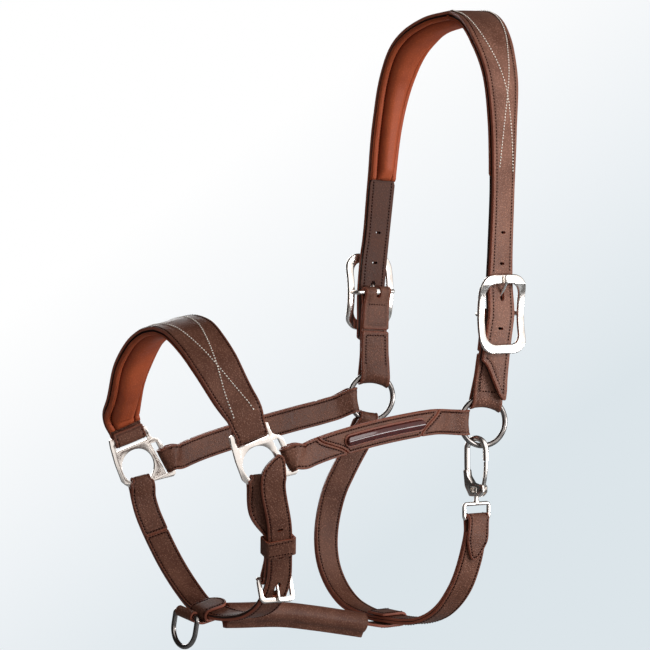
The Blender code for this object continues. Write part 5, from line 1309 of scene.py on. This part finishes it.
# decorative stitching, as (along, across) from the near end of each strap
CROWN_FANCY = (
    [(346.4, -14.5), (300.0, -10.5), (243.0, 3.0), (205.0, 7.8), (181.0, 9.3)],
    [(346.4, 16.5), (300.0, 14.0), (243.0, 3.0), (205.0, -4.0), (183.0, -7.2)],
)
NOSE_FANCY = (
    [(149.4, -12.2), (118.0, -8.5), (76.0, -0.5), (50.0, 5.0), (31.0, 7.5)],
    [(149.4, 12.2), (118.0, 8.0), (76.0, -0.5), (50.0, -6.8), (31.0, -10.0)],
)


def widths_with(widths, pad_ends):
    """The same widths, with stations added just inside and outside the ends of the pad."""
    ws, hs = np.transpose(widths)
    extra = [s + step for s in pad_ends for step in (-0.4, 0.4)]
    return [(s, float(np.interp(s, ws, hs))) for s in sorted([*ws, *extra])]


def fancy(route, lines, t):
    """White decorative stitching: smooth lines, the same from both ends of the strap."""
    mid = route.length / 2.0
    for mirror in (1.0, -1.0):
        for line in lines:
            smooth = smooth_line([(s, w, 0.0) for s, w in line], 12)
            run = [(mid - mirror * (mid - p[0]), p[1]) for p in smooth]
            stitches(white_rows, route, run, t + FANCY_LIFT, FANCY_R)


def crown():
    """Outer and lining with slanted ends, buckle holes through both, and the pad between the rings."""
    route = crown_route()
    widths = crown_widths(route)

    def cut_to(places):
        return Shape(0.0, route.length, places, "diagonal", "diagonal", 2.2)

    shape = cut_to(widths)
    under = -GAP - LINING
    tucked = [(s, h - PAD_TUCK * (1.0 if route.pad[0] < s < route.pad[1] else 0.0))
              for s, h in widths_with(widths, route.pad)]
    # the outer strap takes the lighter copy of the brown leather: painted light on the lit near side
    strap("crown_outer", route, shape, 0.0, LINING, BROWN_PAINTED_LIGHTER, holes=crown_holes(route, False), groove=SEAM_IN,
          dome=0.35)
    strap("crown_lining", route, cut_to(tucked), -GAP, under, LINED, crown_holes(route, True),
          SEAM_IN, rim=DARK_EDGE)
    pad("crown", route, widths, CROWN_RISE)
    sewn(route, shape, LINING, ends=(0, 1), inset=SEAM_IN)
    for lo, hi in ((4.0, route.pad[0] - 1.0), (route.pad[1] + 1.0, route.length - 4.0)):
        sewn(route, shape, under, lo, hi, inset=SEAM_IN)
    fancy(route, CROWN_FANCY, LINING)


def noseband():
    """Outer strap with a tab at each end, and the lining and pad between the fittings."""
    route = nose_route()
    widths = nose_widths(route)
    shape = Shape(0.0, route.length, widths)
    tucked = Shape(route.pad[0] + 1.0, route.pad[1] - 1.0, [(s, h - PAD_TUCK) for s, h in widths])
    strap("noseband_outer", route, shape, 0.0, LEATHER, dome=0.35)
    strap("noseband_lining", route, tucked, -GAP, -GAP - LINING, LINED, groove=None, rim=DARK_EDGE)
    pad("noseband", route, widths, NOSE_RISE)
    sewn(route, shape, LEATHER, 3.0, route.length - 3.0)
    fancy(route, NOSE_FANCY, LEATHER)


# chapes, cheekpieces, chin, jaw and throat

def chape(side):
    """Doubled strap folded round the cheek ring and the buckle's bar, with a slot for the tongue."""
    route, wire_at, bar, toward = chape_route(side)
    s_ring = route.nearest(wire_at + toward * LOOP_WIDE)
    s_bar = route.nearest(bar + vec(0, 0, CHAPE_BEND), s_ring + 20.0)
    shape = Shape(0.0, route.length, CROWN_HALF)
    # the near chape takes the lighter copy of the brown leather, painted light on the lit side; the far chape
    # keeps the plain brown
    strap("crown_chape_" + SIDE[side], route, shape, 0.0, LEATHER, BROWN_PAINTED_LIGHTER if side < 0 else BROWN,
          holes=[slot_points(s_bar, 16.0, SLIT_HALF, 6)], groove=SEAM_IN,
          saddles=[(s_ring, SADDLE_WIDE, 6.0, 16.0, toward)])
    sewn(route, shape, LEATHER, s_ring + 12.0, s_bar - 10.0, inset=SEAM_IN)
    sewn(route, shape, LEATHER, SEAM_IN, s_ring - 12.0, ends=(0,), inset=SEAM_IN)
    across = CROWN_HALF - SEAM_IN
    for s in (s_ring + 12.0, s_bar + 14.0):
        stitches(dark_rows, route, [(s, -across), (s, across)], LEATHER)


def sewn_ends(route, shape, lo, hi):
    """Stitches round both ends of a strap, up to one place and on from another."""
    sewn(route, shape, LEATHER, None, lo, ends=(0,))
    sewn(route, shape, LEATHER, hi, None, ends=(1,))


def lower_side(route, s):
    """Which side of a strap hangs lower at a place, 1 or -1."""
    return -1.0 if route.place(s, 5.0, 0.0)[2] > route.place(s, -5.0, 0.0)[2] else 1.0


def slide(route, middle, across, reach=26.0):
    """Let a fold sit lower on its bar, fading out along the strap."""
    fade = 0.5 + 0.5 * np.cos(np.pi * np.clip(np.abs(route.s - middle) / reach, 0.0, 1.0))
    down = -1.0 if route.pick(route.W, middle)[2] > 0.0 else 1.0
    route.P = np.array(route.P) + (across * down * fade)[:, None] * np.array(route.W)


def cheekpiece(side):
    """Back folded round fitting and ring, the face sewn on it, and the raised border with its inlay."""
    route, face, bar, wire_at, front, rear = cheek_route(side)
    name = SIDE[side]
    s_bar = route.nearest(bar - BAR_FOLD * rear)
    slide(route, s_bar, CHEEK_DROP[side])
    s_ring = route.nearest(wire_at - LOOP_SMALL * front, s_bar + 60.0)
    tips = (13.0, route.length - 10.0)
    long, short = FLAP_SWEEP["fitting"], FLAP_SWEEP["ring"]
    shape = Shape(tips[0] - long / 2.0, tips[1] + short / 2.0, SMALL_HALF,
                  lower_side(route, s_bar - 20.0) * long, lower_side(route, s_ring + 25.0) * short)
    strap("cheekpiece_back_" + name, route, shape, 0.0, LEATHER, groove=SMALL_SEAM_IN,
          saddles=[(s_ring, SADDLE_SMALL, 5.5, 12.0, -front)])
    up = -lower_side(face, 80.0)
    start, end = (face.nearest(route.place(s, 0.0, 0.0)) for s in tips)
    front_shape = Shape(start + 1.0 - long / 2.0, end - 1.0 + short / 2.0, SMALL_HALF, up * long, up * short)
    strap("cheekpiece_face_" + name, face, front_shape, 0.0, LEATHER, groove=SMALL_SEAM_IN)
    s0 = face.nearest(out(side, (-187.0, 85.0, CHEEK_LINE[side][2][2])))
    s1 = face.nearest(out(side, (-104.5, 80.0, CHEEK_LINE[side][4][2])))
    low = LEATHER + GAP
    strap("cheekpiece_border_" + name, face, Shape(s0, s1, BORDER_HALF, "round", "round"), low,
          low + BORDER_HIGH, PIPING, groove=None, edge=0.3, rim=PIPING)
    low += BORDER_HIGH + GAP
    gap = BORDER_HALF - INLAY_HALF
    strap("cheekpiece_inlay_" + name, face, Shape(s0 + gap, s1 - gap, INLAY_HALF, "round", "round"),
          low, low + 1.2, PATENT, groove=None, dome=1.3, edge=1.1, rim=PATENT)
    sewn(route, shape, LEATHER, None, s_bar - 7.0, ends=(0,), inset=SMALL_SEAM_IN)
    sewn(route, shape, LEATHER, s_bar + 7.0, s_ring - 7.0, inset=SMALL_SEAM_IN)
    sewn(route, shape, LEATHER, s_ring + 7.0, None, ends=(1,), inset=SMALL_SEAM_IN)
    sewn(face, front_shape, LEATHER, ends=(0, 1), inset=SMALL_SEAM_IN)


def chin():
    """The long strap from the far fitting's rim to the billet's point, with its lining and its holes."""
    route = chin_route()
    s_turn = route.nearest(out(1, CHIN_FAR[0][:3]), 40.0)
    holes = [slit(route.nearest(out(-1, (-240.0, 80.0, z)), s_turn + 120.0), 5.0, 6) for z in CHIN_HOLES]
    bar = out(-1, HEEL_AT)
    s_heel = route.nearest(bar + 7.0 * vec(-0.2, -0.96, -0.2), s_turn + 100.0)
    centre, d = rim_fold(1, RIM_FAR, False)[1:]
    s_fold = route.nearest(centre - RIM_REACH * d)
    shape = Shape(0.0, route.length, rim_waisted(route, s_fold), "square", "point")
    strap("chin_strap_outer", route, shape, 0.0, LEATHER,
          holes=holes + [slot_points(s_heel - 6.5, 13.0, SLIT_HALF, 6)])
    s0 = route.nearest(out(1, CHIN_FAR[2][:3]), s_turn) + 0.8
    inner = Shape(s0 - 0.7, route.length, SMALL_HALF, "square", "point")
    strap("chin_strap_lining", route, inner, -GAP, -GAP - CHIN_LINING, BROWN,
          holes + [slot_points(s_heel - 4.0, 13.0, SLIT_HALF, 6)], rim=DARK_EDGE)
    sewn_ends(route, shape, s_fold - 7.0, s_fold + 7.0)
    sewn(route, inner, -GAP - CHIN_LINING, ends=(0, 1))
    return route


def chin_chape(main):
    """Short doubled strap from the near fitting's rim to the chin buckle's bar."""
    route, bar, t, rim = chin_chape_route(main)
    s_bar = route.nearest(bar + CHIN_BEND * t, 60.0)
    s_rim = route.nearest(rim)
    shape = Shape(0.0, route.length, rim_waisted(route, s_rim))
    strap("chin_chape", route, shape, 0.0, LEATHER, holes=[slot_points(s_bar, 16.0, SLIT_HALF, 6)])
    sewn(route, shape, LEATHER, None, s_rim - 7.0, ends=(0,))
    sewn(route, shape, LEATHER, s_rim + 7.0, s_bar - 9.0)


def keeper(route):
    """Leather loop round the billet and the chape, sewn near both of its edges."""
    s = route.nearest(out(-1, (-241.0, 79.0, -402.0)), 200.0)
    low = -UNDER_BILLET - CHAPE_SPLIT - LEATHER
    middle = (LEATHER + low) / 2.0
    half = (LEATHER - low) / 2.0 + 0.75
    bm = plate(rounded_box(SMALL_HALF + 2.7, half + KEEPER_WALL, 3.0, 8), -7.0, 7.0)
    bm = punch(bm, [rounded_box(SMALL_HALF + 0.9, half, 1.4, 6)], -7.0, 7.0)
    round_edges(bm, 0.5)
    for z in (-5.0, -2.5, 0.0, 2.5, 5.0):
        cut(bm, (0, 0, z), (0, 0, 1))
    paint_ends(bm)
    stand(bm, route.place(s, 0.0, middle), *(route.pick(a, s) for a in (route.W, route.N, route.T)))
    piece("chin_keeper_leather", bm, [BROWN, EDGE], ["chin_keeper"])
    across = SMALL_HALF + 1.0
    for ds in (-4.9, 4.9):
        stitches(dark_rows, route, [(s + ds, -across), (s + ds, across)], middle + half + KEEPER_WALL)


def jaw():
    """Strap lapped at both ends and narrowed where the roll of leather is sewn round it."""
    route = jaw_route()
    s0 = route.nearest((JAW_LINE[0][0], 0.0, JAW_LINE[0][1]))
    s1 = route.nearest((JAW_LINE[-1][0], 0.0, JAW_LINE[-1][1]), s0 + 60.0)
    shape = Shape(0.0, route.length, waisted(route, s0 - 2.5, s1 + 2.5, 6.5, JAW_WAIST), "round")
    strap("jaw_loop_strap", route, shape, 0.0, LEATHER)
    sewn_ends(route, shape, s0 - 12.0, s1 + 12.0)
    roll = Route([(vec(x, 0.0, z - 0.6), vec(0.0, 0.0, 1.0)) for x, z in JAW_LINE])
    lip = [(-2.4, -ROLL_R - 3.2), (2.4, -ROLL_R - 3.2)]
    bm = plate(arc(ROLL_R, np.linspace(-62.0, 242.0, 37)) + lip, 0.0, roll.length)
    bm = punch(bm, [arc(ROLL_R - ROLL_WALL, np.linspace(-80.0, 260.0, 37))], 0.0, roll.length)
    round_edges(bm, 0.5, 2, 0.9)
    for s in np.linspace(0.0, roll.length, 40)[1:-1]:
        cut(bm, (0, 0, s), (0, 0, 1))
    paint_ends(bm, -ROLL_R - 2.9)
    for v in bm.verts:
        x, y, s = v.co
        v.co = roll.place(s, x, y)
    bmesh.ops.recalc_face_normals(bm, faces=bm.faces)
    piece("jaw_roll_leather", bm, [BROWN, EDGE], ["jaw_roll"])


def throat():
    """Lining folded round the far cheek ring and the snap's eye, with the outer strap sewn on it."""
    route, face, wire_at, away = throat_route()
    s_ring = route.nearest(wire_at - LOOP_SMALL * away)
    widths = waisted(route, s_ring - 6.0, s_ring + 6.0, 4.0, THROAT_WAIST)
    shape = Shape(0.0, route.length, widths, "point", "point")
    strap("throat_strap_lining", route, shape, 0.0, LEATHER,
          saddles=[(s_ring, SADDLE_SMALL, 5.5, 12.0, -away)])
    outer = Shape(4.0, face.length - 0.5, SMALL_HALF)
    strap("throat_strap_outer", face, outer, 0.0, LEATHER)
    sewn_ends(route, shape, s_ring - 11.0, s_ring + 11.0)
    sewn(face, outer, LEATHER)


# metal

def ring(side):
    """Welded round ring: a circle of wire swept round the ring's middle."""
    normal = plane_out(side)
    a = unit(np.cross(normal, vec(0, 0, 1)))
    bm = bmesh.new()
    made = bmesh.ops.create_circle(bm, radius=WIRE_R, segments=20)["verts"]
    bmesh.ops.translate(bm, verts=made, vec=(RING_R, 0.0, 0.0))
    axes = (ring_centre(side), a, normal, np.cross(a, normal))
    metal_piece("cheek_ring_" + SIDE[side], spun(bm, 96), axes, STEEL)


def sleeve(inner, outer, width):
    """Rolled eye round a bar along x."""
    half = width / 2
    bm = turned([(inner, -half), (outer, -half), (outer, half), (inner, half), (inner, -half)], 32)
    bmesh.ops.rotate(bm, verts=bm.verts, matrix=Matrix.Rotation(math.pi / 2, 3, "Z"))
    return bm


def tongue(line, radius, tip, eye):
    """Buckle tongue: wire along a line, thinned at its tip, with an eye rolled round the bar."""
    line = smooth_line(line, 8)
    return join(wire(line, [radius] * (len(line) - len(tip)) + tip), sleeve(BAR_R + 0.2, eye, 3.0))


def crown_buckle(side):
    """Cast frame bowed over the strap, with its bar behind."""
    bm = plate(rounded_box(*FRAME_HALF, 13.0, 14), 0.0, FRAME_DEPTH)
    bm = punch(bm, [rounded_box(*FRAME_OPEN, 9.0, 12)], 0.0, FRAME_DEPTH)
    round_edges(bm, 1.3, 5)
    for y in np.linspace(-26.0, 26.0, 27):
        cut(bm, (0, y, 0), (0, 1, 0))
    for v in bm.verts:
        v.co.z += FRAME_STANDOFF - FRAME_BOW * max(0.0, 1.0 - (v.co.y / 24.0) ** 2)
    post = (FRAME_HALF[0] + FRAME_OPEN[0]) / 2.0
    bar = [vec(-post + x, 0, z) for x, z in ((1.4, 7.0), (1.4, 4.0), (1.9, 1.3), (3.2, 0.0))]
    bar += [vec(0, 0, 0)] + [vec(-p[0], p[1], p[2]) for p in reversed(bar)]
    z, along = out(side, (0, 1, 0)), vec(0, 0, 1)
    axes = (out(side, BUCKLE_AT[side]), np.cross(along, z), along, z)
    metal_piece("crown_buckle_" + SIDE[side], join(bm, wire(bar, BAR_R)), axes)
    bm = tongue([(0.0, h, d) for h, d in tongue_line(TONGUE_HOLE[side])], TONGUE_R,
                [TONGUE_R * 0.95, TONGUE_R * 0.8, TONGUE_R * 0.5], 3.5)
    metal_piece("crown_tongue_" + SIDE[side], bm, axes)


def fitting(side):
    """Cast plate with its round hole, the noseband's slot above and the cheek's slot behind."""
    bar = TOP_BAR_V
    outline = [(24.6, -18.6), (27.0, -17.2), (27.7, -14.0), (24.6, 10.4), (22.6, 14.8), (19.2, 16.6),
               (17.4, 18.6), (17.0, bar - 2.2), (16.8, bar + 2.8), (15.2, bar + 4.2), (13.0, bar + 2.2),
               (-10.8, bar + 2.2), (-13.4, bar + 4.2), (-15.4, bar + 3.4), (-16.4, bar - 2.2), (-17.3, 8.0)]
    bm = plate(arc(FIT_RIM, range(-62, -159, -4)) + outline[::-1], -PLATE / 2, PLATE / 2)
    slot = bar - 1.6
    top = [(14.8, 18.0), (14.8, slot), (-12.8, slot), (-12.8, 18.0), (-11.6, 17.2), (13.6, 17.2)]
    back = [(15.8, 13.0), (20.6, 12.6), (24.6, -14.8), (19.8, -14.2)]
    bm = punch(bm, [arc(FIT_HOLE, range(0, 360, 5)), top, back], -PLATE / 2, PLATE / 2)
    round_edges(bm, 0.8, 3, 0.9)
    metal_piece("nose_fitting_" + SIDE[side], bm, (out(side, FIT_AT[side]), *fit_axes(), plane_out(side)))


def chin_buckle():
    """Small heel-bar buckle and its tongue."""
    z = 1.6
    bm = plate([(x, y + 8.8) for x, y in rounded_box(14.5, 10.6, 4.6, 8)], -z, z)
    bm = punch(bm, [[(x, y + 6.3) for x, y in rounded_box(11.3, 9.4, 2.2, 6)]], -z, z)
    bm = punch(bm, [box(-20.0, 20.0, -4.0, -0.6)], -z, z)
    round_edges(bm, 0.9, 3, 0.9)
    bar = [vec(x, y, 0) for x, y in ((-13.9, 0.6), (-13.1, 0), (0, 0), (13.1, 0), (13.9, 0.6))]
    axes = (out(-1, HEEL_AT), *heel_axes())
    metal_piece("chin_buckle", join(bm, wire(bar, BAR_R)), axes)
    line = [(0.0, 0.0, 3.3), (0.0, 4.0, 3.5), (0.0, 8.0, 3.9), (0.0, 13.0, 3.9), (0.0, 19.6, 3.1)]
    metal_piece("chin_tongue", tongue(line, 1.25, [1.1, 0.7], 3.4), axes)


def lead_ring():
    """D of round wire under the chin, and the leather loop that holds its bar."""
    centre, along, down, front = junction_axes()
    turn = math.radians(1.0)
    bar_dir = unit(math.cos(turn) * along + math.sin(turn) * front)
    fwd = unit(np.cross(down, bar_dir))
    fwd = fwd * (1.0 if fwd[0] < 0 else -1.0)
    bar = centre + 20.6 * front - 1.6 * down - 4.0 * along
    pts = [(centre + x * front + low * down - 4.0 * along, down)
           for x, low in ((-8.0, 5.9), (6.0, 5.9), (13.5, 5.3))]
    pts += fold(bar, down, fwd, D_LOOP, D_LOOP, 30.0, 250.0, 10)
    route = Route(pts)
    strap("lead_ring_loop", route, Shape(0.0, route.length, SMALL_HALF), 0.0, 1.8, groove=None)
    hang = unit(vec(-0.05, 0.0, -1.0) - (vec(-0.05, 0.0, -1.0) @ bar_dir) * bar_dir)
    corner = [(D_HALF - D_CORNER + D_CORNER * math.sin(a), D_CORNER - D_CORNER * math.cos(a))
              for a in np.radians(range(0, 91, 10))]
    bow = [(x, 12.0 + 1.04 * y) for x, y in arc(D_HALF, range(0, 181, 5))]
    line = corner + [(D_HALF, 8.0)] + bow + [(-D_HALF, 8.0)] + [(-x, y) for x, y in reversed(corner)]
    bm = wire([bar + x * bar_dir + y * hang for x, y in line], 2.0, True)
    piece("lead_ring_metal", bm, [STEEL], ["lead_ring"])


def snap():
    """Swivel eye, hook body, sprung gate and its pin."""
    at, p, z, q = snap_axes()
    axes = (at, p, z, -q)
    line = [(-6.6, -31.0), (-7.9, -26.0), (-8.6, -18.0), (-8.7, -10.0)]
    line += [(x, y - 3.4) for x, y in arc(8.7, range(180, -1, -9))] + [(8.8, -8.0), (8.9, -12.4)]
    hook = wire([(x, y, 0) for x, y in line], [2.3] * (len(line) - 1) + [2.1])
    base = [(-10.6, -20.0), (-6.6, -20.0), (-5.8, -25.0), (-2.0, -30.5), (1.6, -31.5), (7.6, -31.5),
            (8.6, -33.0), (8.6, -37.6), (5.5, -41.0), (-5.0, -41.0), (-9.2, -33.0)]
    block = plate(base, -3.5, 3.5)
    round_edges(block, 0.9, 3, 0.35)
    block = punch(block, [box(-3.1, 3.0, -37.6, -33.2)], -3.5, 3.5)
    block = boolean(block, plate(box(3.4, 12.0, -39.4, -30.0), -1.9, 1.9), "DIFFERENCE")
    metal_piece("snap_hook_body", join(hook, block), axes)
    gate = wire(smooth_line([(*HINGE, 0), (7.6, -28.0, 0), (8.6, -20.0, 0), (8.8, -13.0, 0)], 6), 1.6)
    hub = wire([(*HINGE, d) for d in (-1.6, 0.0, 1.6)], 2.4, sides=8)
    metal_piece("snap_gate", join(gate, hub), axes)
    metal_piece("snap_gate_pin", wire([(*HINGE, d) for d in (-3.7, 0.0, 3.7)], 1.0), axes, STEEL)
    side = 12.2
    half = [(side - 1.8, -46.8), (side - 0.5, -47.3), (side, -48.6), (side, -53.0), (side, -56.8),
            (side - 0.5, -58.1), (side - 1.8, -EYE_DROP)]
    other = [(-x, y) for x, y in half]
    line = other[:1] + [(0.0, -46.8)] + half + [(0.0, -EYE_DROP)] + other[:0:-1]
    swivel = turned([(0.0, -33.7), (2.0, -33.7), (2.6, -34.3), (2.6, -36.6), (1.85, -37.1), (1.85, -44.0),
                     (2.6, -45.2), (2.6, -46.8), (0.0, -47.2)])
    x = vec(1.0, 0.0, 0.0)
    eye = wire([(a, b, 0) for a, b in line], EYE_WIRE, True)
    metal_piece("snap_eye", join(eye, swivel), (at, x, z, np.cross(x, z)))


def under_frame(place):
    """Whether a stitch lies under an end bar of a crown buckle, which presses on the leather there."""
    for side in (-1, 1):
        off = place - out(side, BUCKLE_AT[side])
        if 3.5 < off @ out(side, (0, 1, 0)) < 14.0 and abs(abs(off[2]) - 27.7) < 5.0:
            return True
    return False


def sew(name, rows, mat):
    """All stitches of one thread, as one piece on the leather: copies of one rounded stitch."""
    rows = [m for m in rows if not under_frame(m[:, 3])]
    bm = bmesh.new()
    bmesh.ops.create_uvsphere(bm, u_segments=8, v_segments=5, radius=1.0,
                              matrix=Matrix.Rotation(math.pi / 2, 4, "Y"))
    points = np.array([(*v.co, 1.0) for v in bm.verts])
    faces = [[v.index for v in f.verts] for f in bm.faces]
    bm.free()
    spots = np.concatenate([points @ m.T for m in rows]) * MM
    rings = [[k + n * len(points) for k in face] for n in range(len(rows)) for face in faces]
    mesh = bpy.data.meshes.new(name)
    mesh.from_pydata(spots.tolist(), [], rings)
    mesh.materials.append(mat)
    mesh.shade_smooth()
    ob = linked(name, mesh)
    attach(ob, "halter")


# the studio

def view_back():
    """From the halter towards the photograph's camera: 36 degrees round from the near side, 3 degrees up."""
    a, e = math.radians(-36.0), math.radians(3.0)
    return vec(math.sin(a) * math.cos(e), -math.cos(a) * math.cos(e), math.sin(e))


def aim(ob, spot, direction):
    """Stand a camera or a lamp at a spot, looking along a direction."""
    ob.location = spot
    ob.rotation_mode = "QUATERNION"
    ob.rotation_quaternion = direction.to_track_quat("-Z", "Y")


def camera():
    """The photograph's view, through a long lens from 3.5 m."""
    data = bpy.data.cameras.new("camera")
    data.sensor_width = 36.0
    data.lens = 244.2
    data.clip_start, data.clip_end = 0.1, 50.0
    ob = linked("camera", data)
    back = Vector(view_back())
    aim(ob, Vector((-0.1439, -0.0036, -0.2373)) + 3.5 * back, -back)
    bpy.context.scene.camera = ob


def lamp(name, spot, target, size, power):
    """A rectangular softbox."""
    data = bpy.data.lights.new(name, "AREA")
    data.shape = "RECTANGLE"
    data.size, data.size_y = size
    data.energy = power
    aim(linked(name, data), spot, Vector(target) - Vector(spot))


def floor():
    """Matt white studio floor: it lights the undersides a little and shows nearly as pale as the backdrop."""
    bm = bmesh.new()
    bmesh.ops.create_circle(bm, cap_ends=True, radius=2.4, segments=96)
    bmesh.ops.translate(bm, verts=bm.verts, vec=(0.0, 0.0, -0.9))
    mesh = bpy.data.meshes.new("floor")
    bm.to_mesh(mesh)
    bm.free()
    mat, shader = new_material("matt white studio floor")
    seen = add(mat, "LightPath").outputs["Is Camera Ray"]
    shown = add(mat, "Math", {"operation": "MULTIPLY"}, {1: 0.72}, {0: seen})
    connect(mat, shader, {"Base Color": linear("a4a8ab"), "Roughness": 0.9,
                          "Emission Color": linear("e2e8ec")}, {"Emission Strength": shown})
    mesh.materials.append(mat)
    linked("floor", mesh)


def studio():
    """A key softbox from the right, a low strip for the glints, and weaker light in front and behind."""
    scene = bpy.context.scene
    scene.view_settings.view_transform = "Standard"
    target = (-0.14, 0.0, -0.24)
    lamp("key softbox", (0.3, -1.02, 0.2), target, (0.6, 0.9), 8.6)
    lamp("low strip light", (1.0, -1.2, -0.47), (-0.15, -0.09, -0.32), (0.95, 0.2), 8.5)
    lamp("fill softbox", (-1.5, -1.5, 0.3), target, (0.6, 1.2), 3.5)
    lamp("rear softbox", (0.3, 1.7, 0.2), target, (0.9, 1.1), 12.0)
    floor()
    scene.world = bpy.data.worlds.new("studio")
    scene.world.use_nodes = True
    shade(scene.world)


def shade(world):
    """A backdrop that runs from white at the upper left to pale blue grey at the lower right."""
    world.node_tree.nodes.clear()
    direction = add(world, "TexCoord").outputs["Generated"]
    path = add(world, "LightPath").outputs
    right = unit(np.cross(-view_back(), vec(0, 0, 1)))
    slope = 0.62 * right + 0.86 * np.cross(right, view_back())
    lines = (slope, (0.2, -0.3, 0.93), (0.3, -0.93, 0.1))
    across, above, front = (add(world, "VectorMath", {"operation": "DOT_PRODUCT"}, {1: tuple(line)},
                                {0: direction}).outputs["Value"] for line in lines)
    run = add(world, "MapRange", values={1: -0.062, 2: 0.066, 3: 0.0, 4: 1.0}, links={0: across})
    ambient = add(world, "MapRange", values={1: -1.0, 2: 1.0, 3: 0.02, 4: 0.24}, links={0: above})
    band = add(world, "MapRange", {"interpolation_type": "SMOOTHSTEP"}, {1: 0.25, 2: 0.62, 3: 0.04, 4: 1.08},
               {0: front})
    paper = add(world, "ValToRGB", links={"Fac": run},
                stops=((0.12, "ffffff"), (0.9, "dce5ea"), (0.5, "eff3f6")))
    shown = add(world, "Background", values={"Strength": 1.0}, links={"Color": paper})
    soft = add(world, "Background", values={"Color": linear("f4f1ee")}, links={"Strength": ambient})
    cards = add(world, "Background", values={"Color": linear("fbf6f2")}, links={"Strength": band})
    seen = add(world, "Math", {"operation": "MAXIMUM"},
               links={0: path["Is Camera Ray"], 1: path["Is Transmission Ray"]})
    lit = add(world, "MixShader", links={0: path["Is Glossy Ray"], 1: soft, 2: cards})
    mix = add(world, "MixShader", links={0: seen, 1: lit, 2: shown})
    add(world, "OutputWorld", links={"Surface": mix})


camera()
studio()
crown()
noseband()
for side in (-1, 1):
    chape(side)
    cheekpiece(side)
    ring(side)
    crown_buckle(side)
    fitting(side)
chin_line = chin()
chin_chape(chin_line)
keeper(chin_line)
jaw()
throat()
chin_buckle()
lead_ring()
snap()
sew("white_stitching", white_rows, WHITE_THREAD)
sew("dark_stitching", dark_rows, DARK_THREAD)
sew("rust_stitching", rust_rows, waxed_thread("waxed rust thread", "45120a", "2c0b06"))
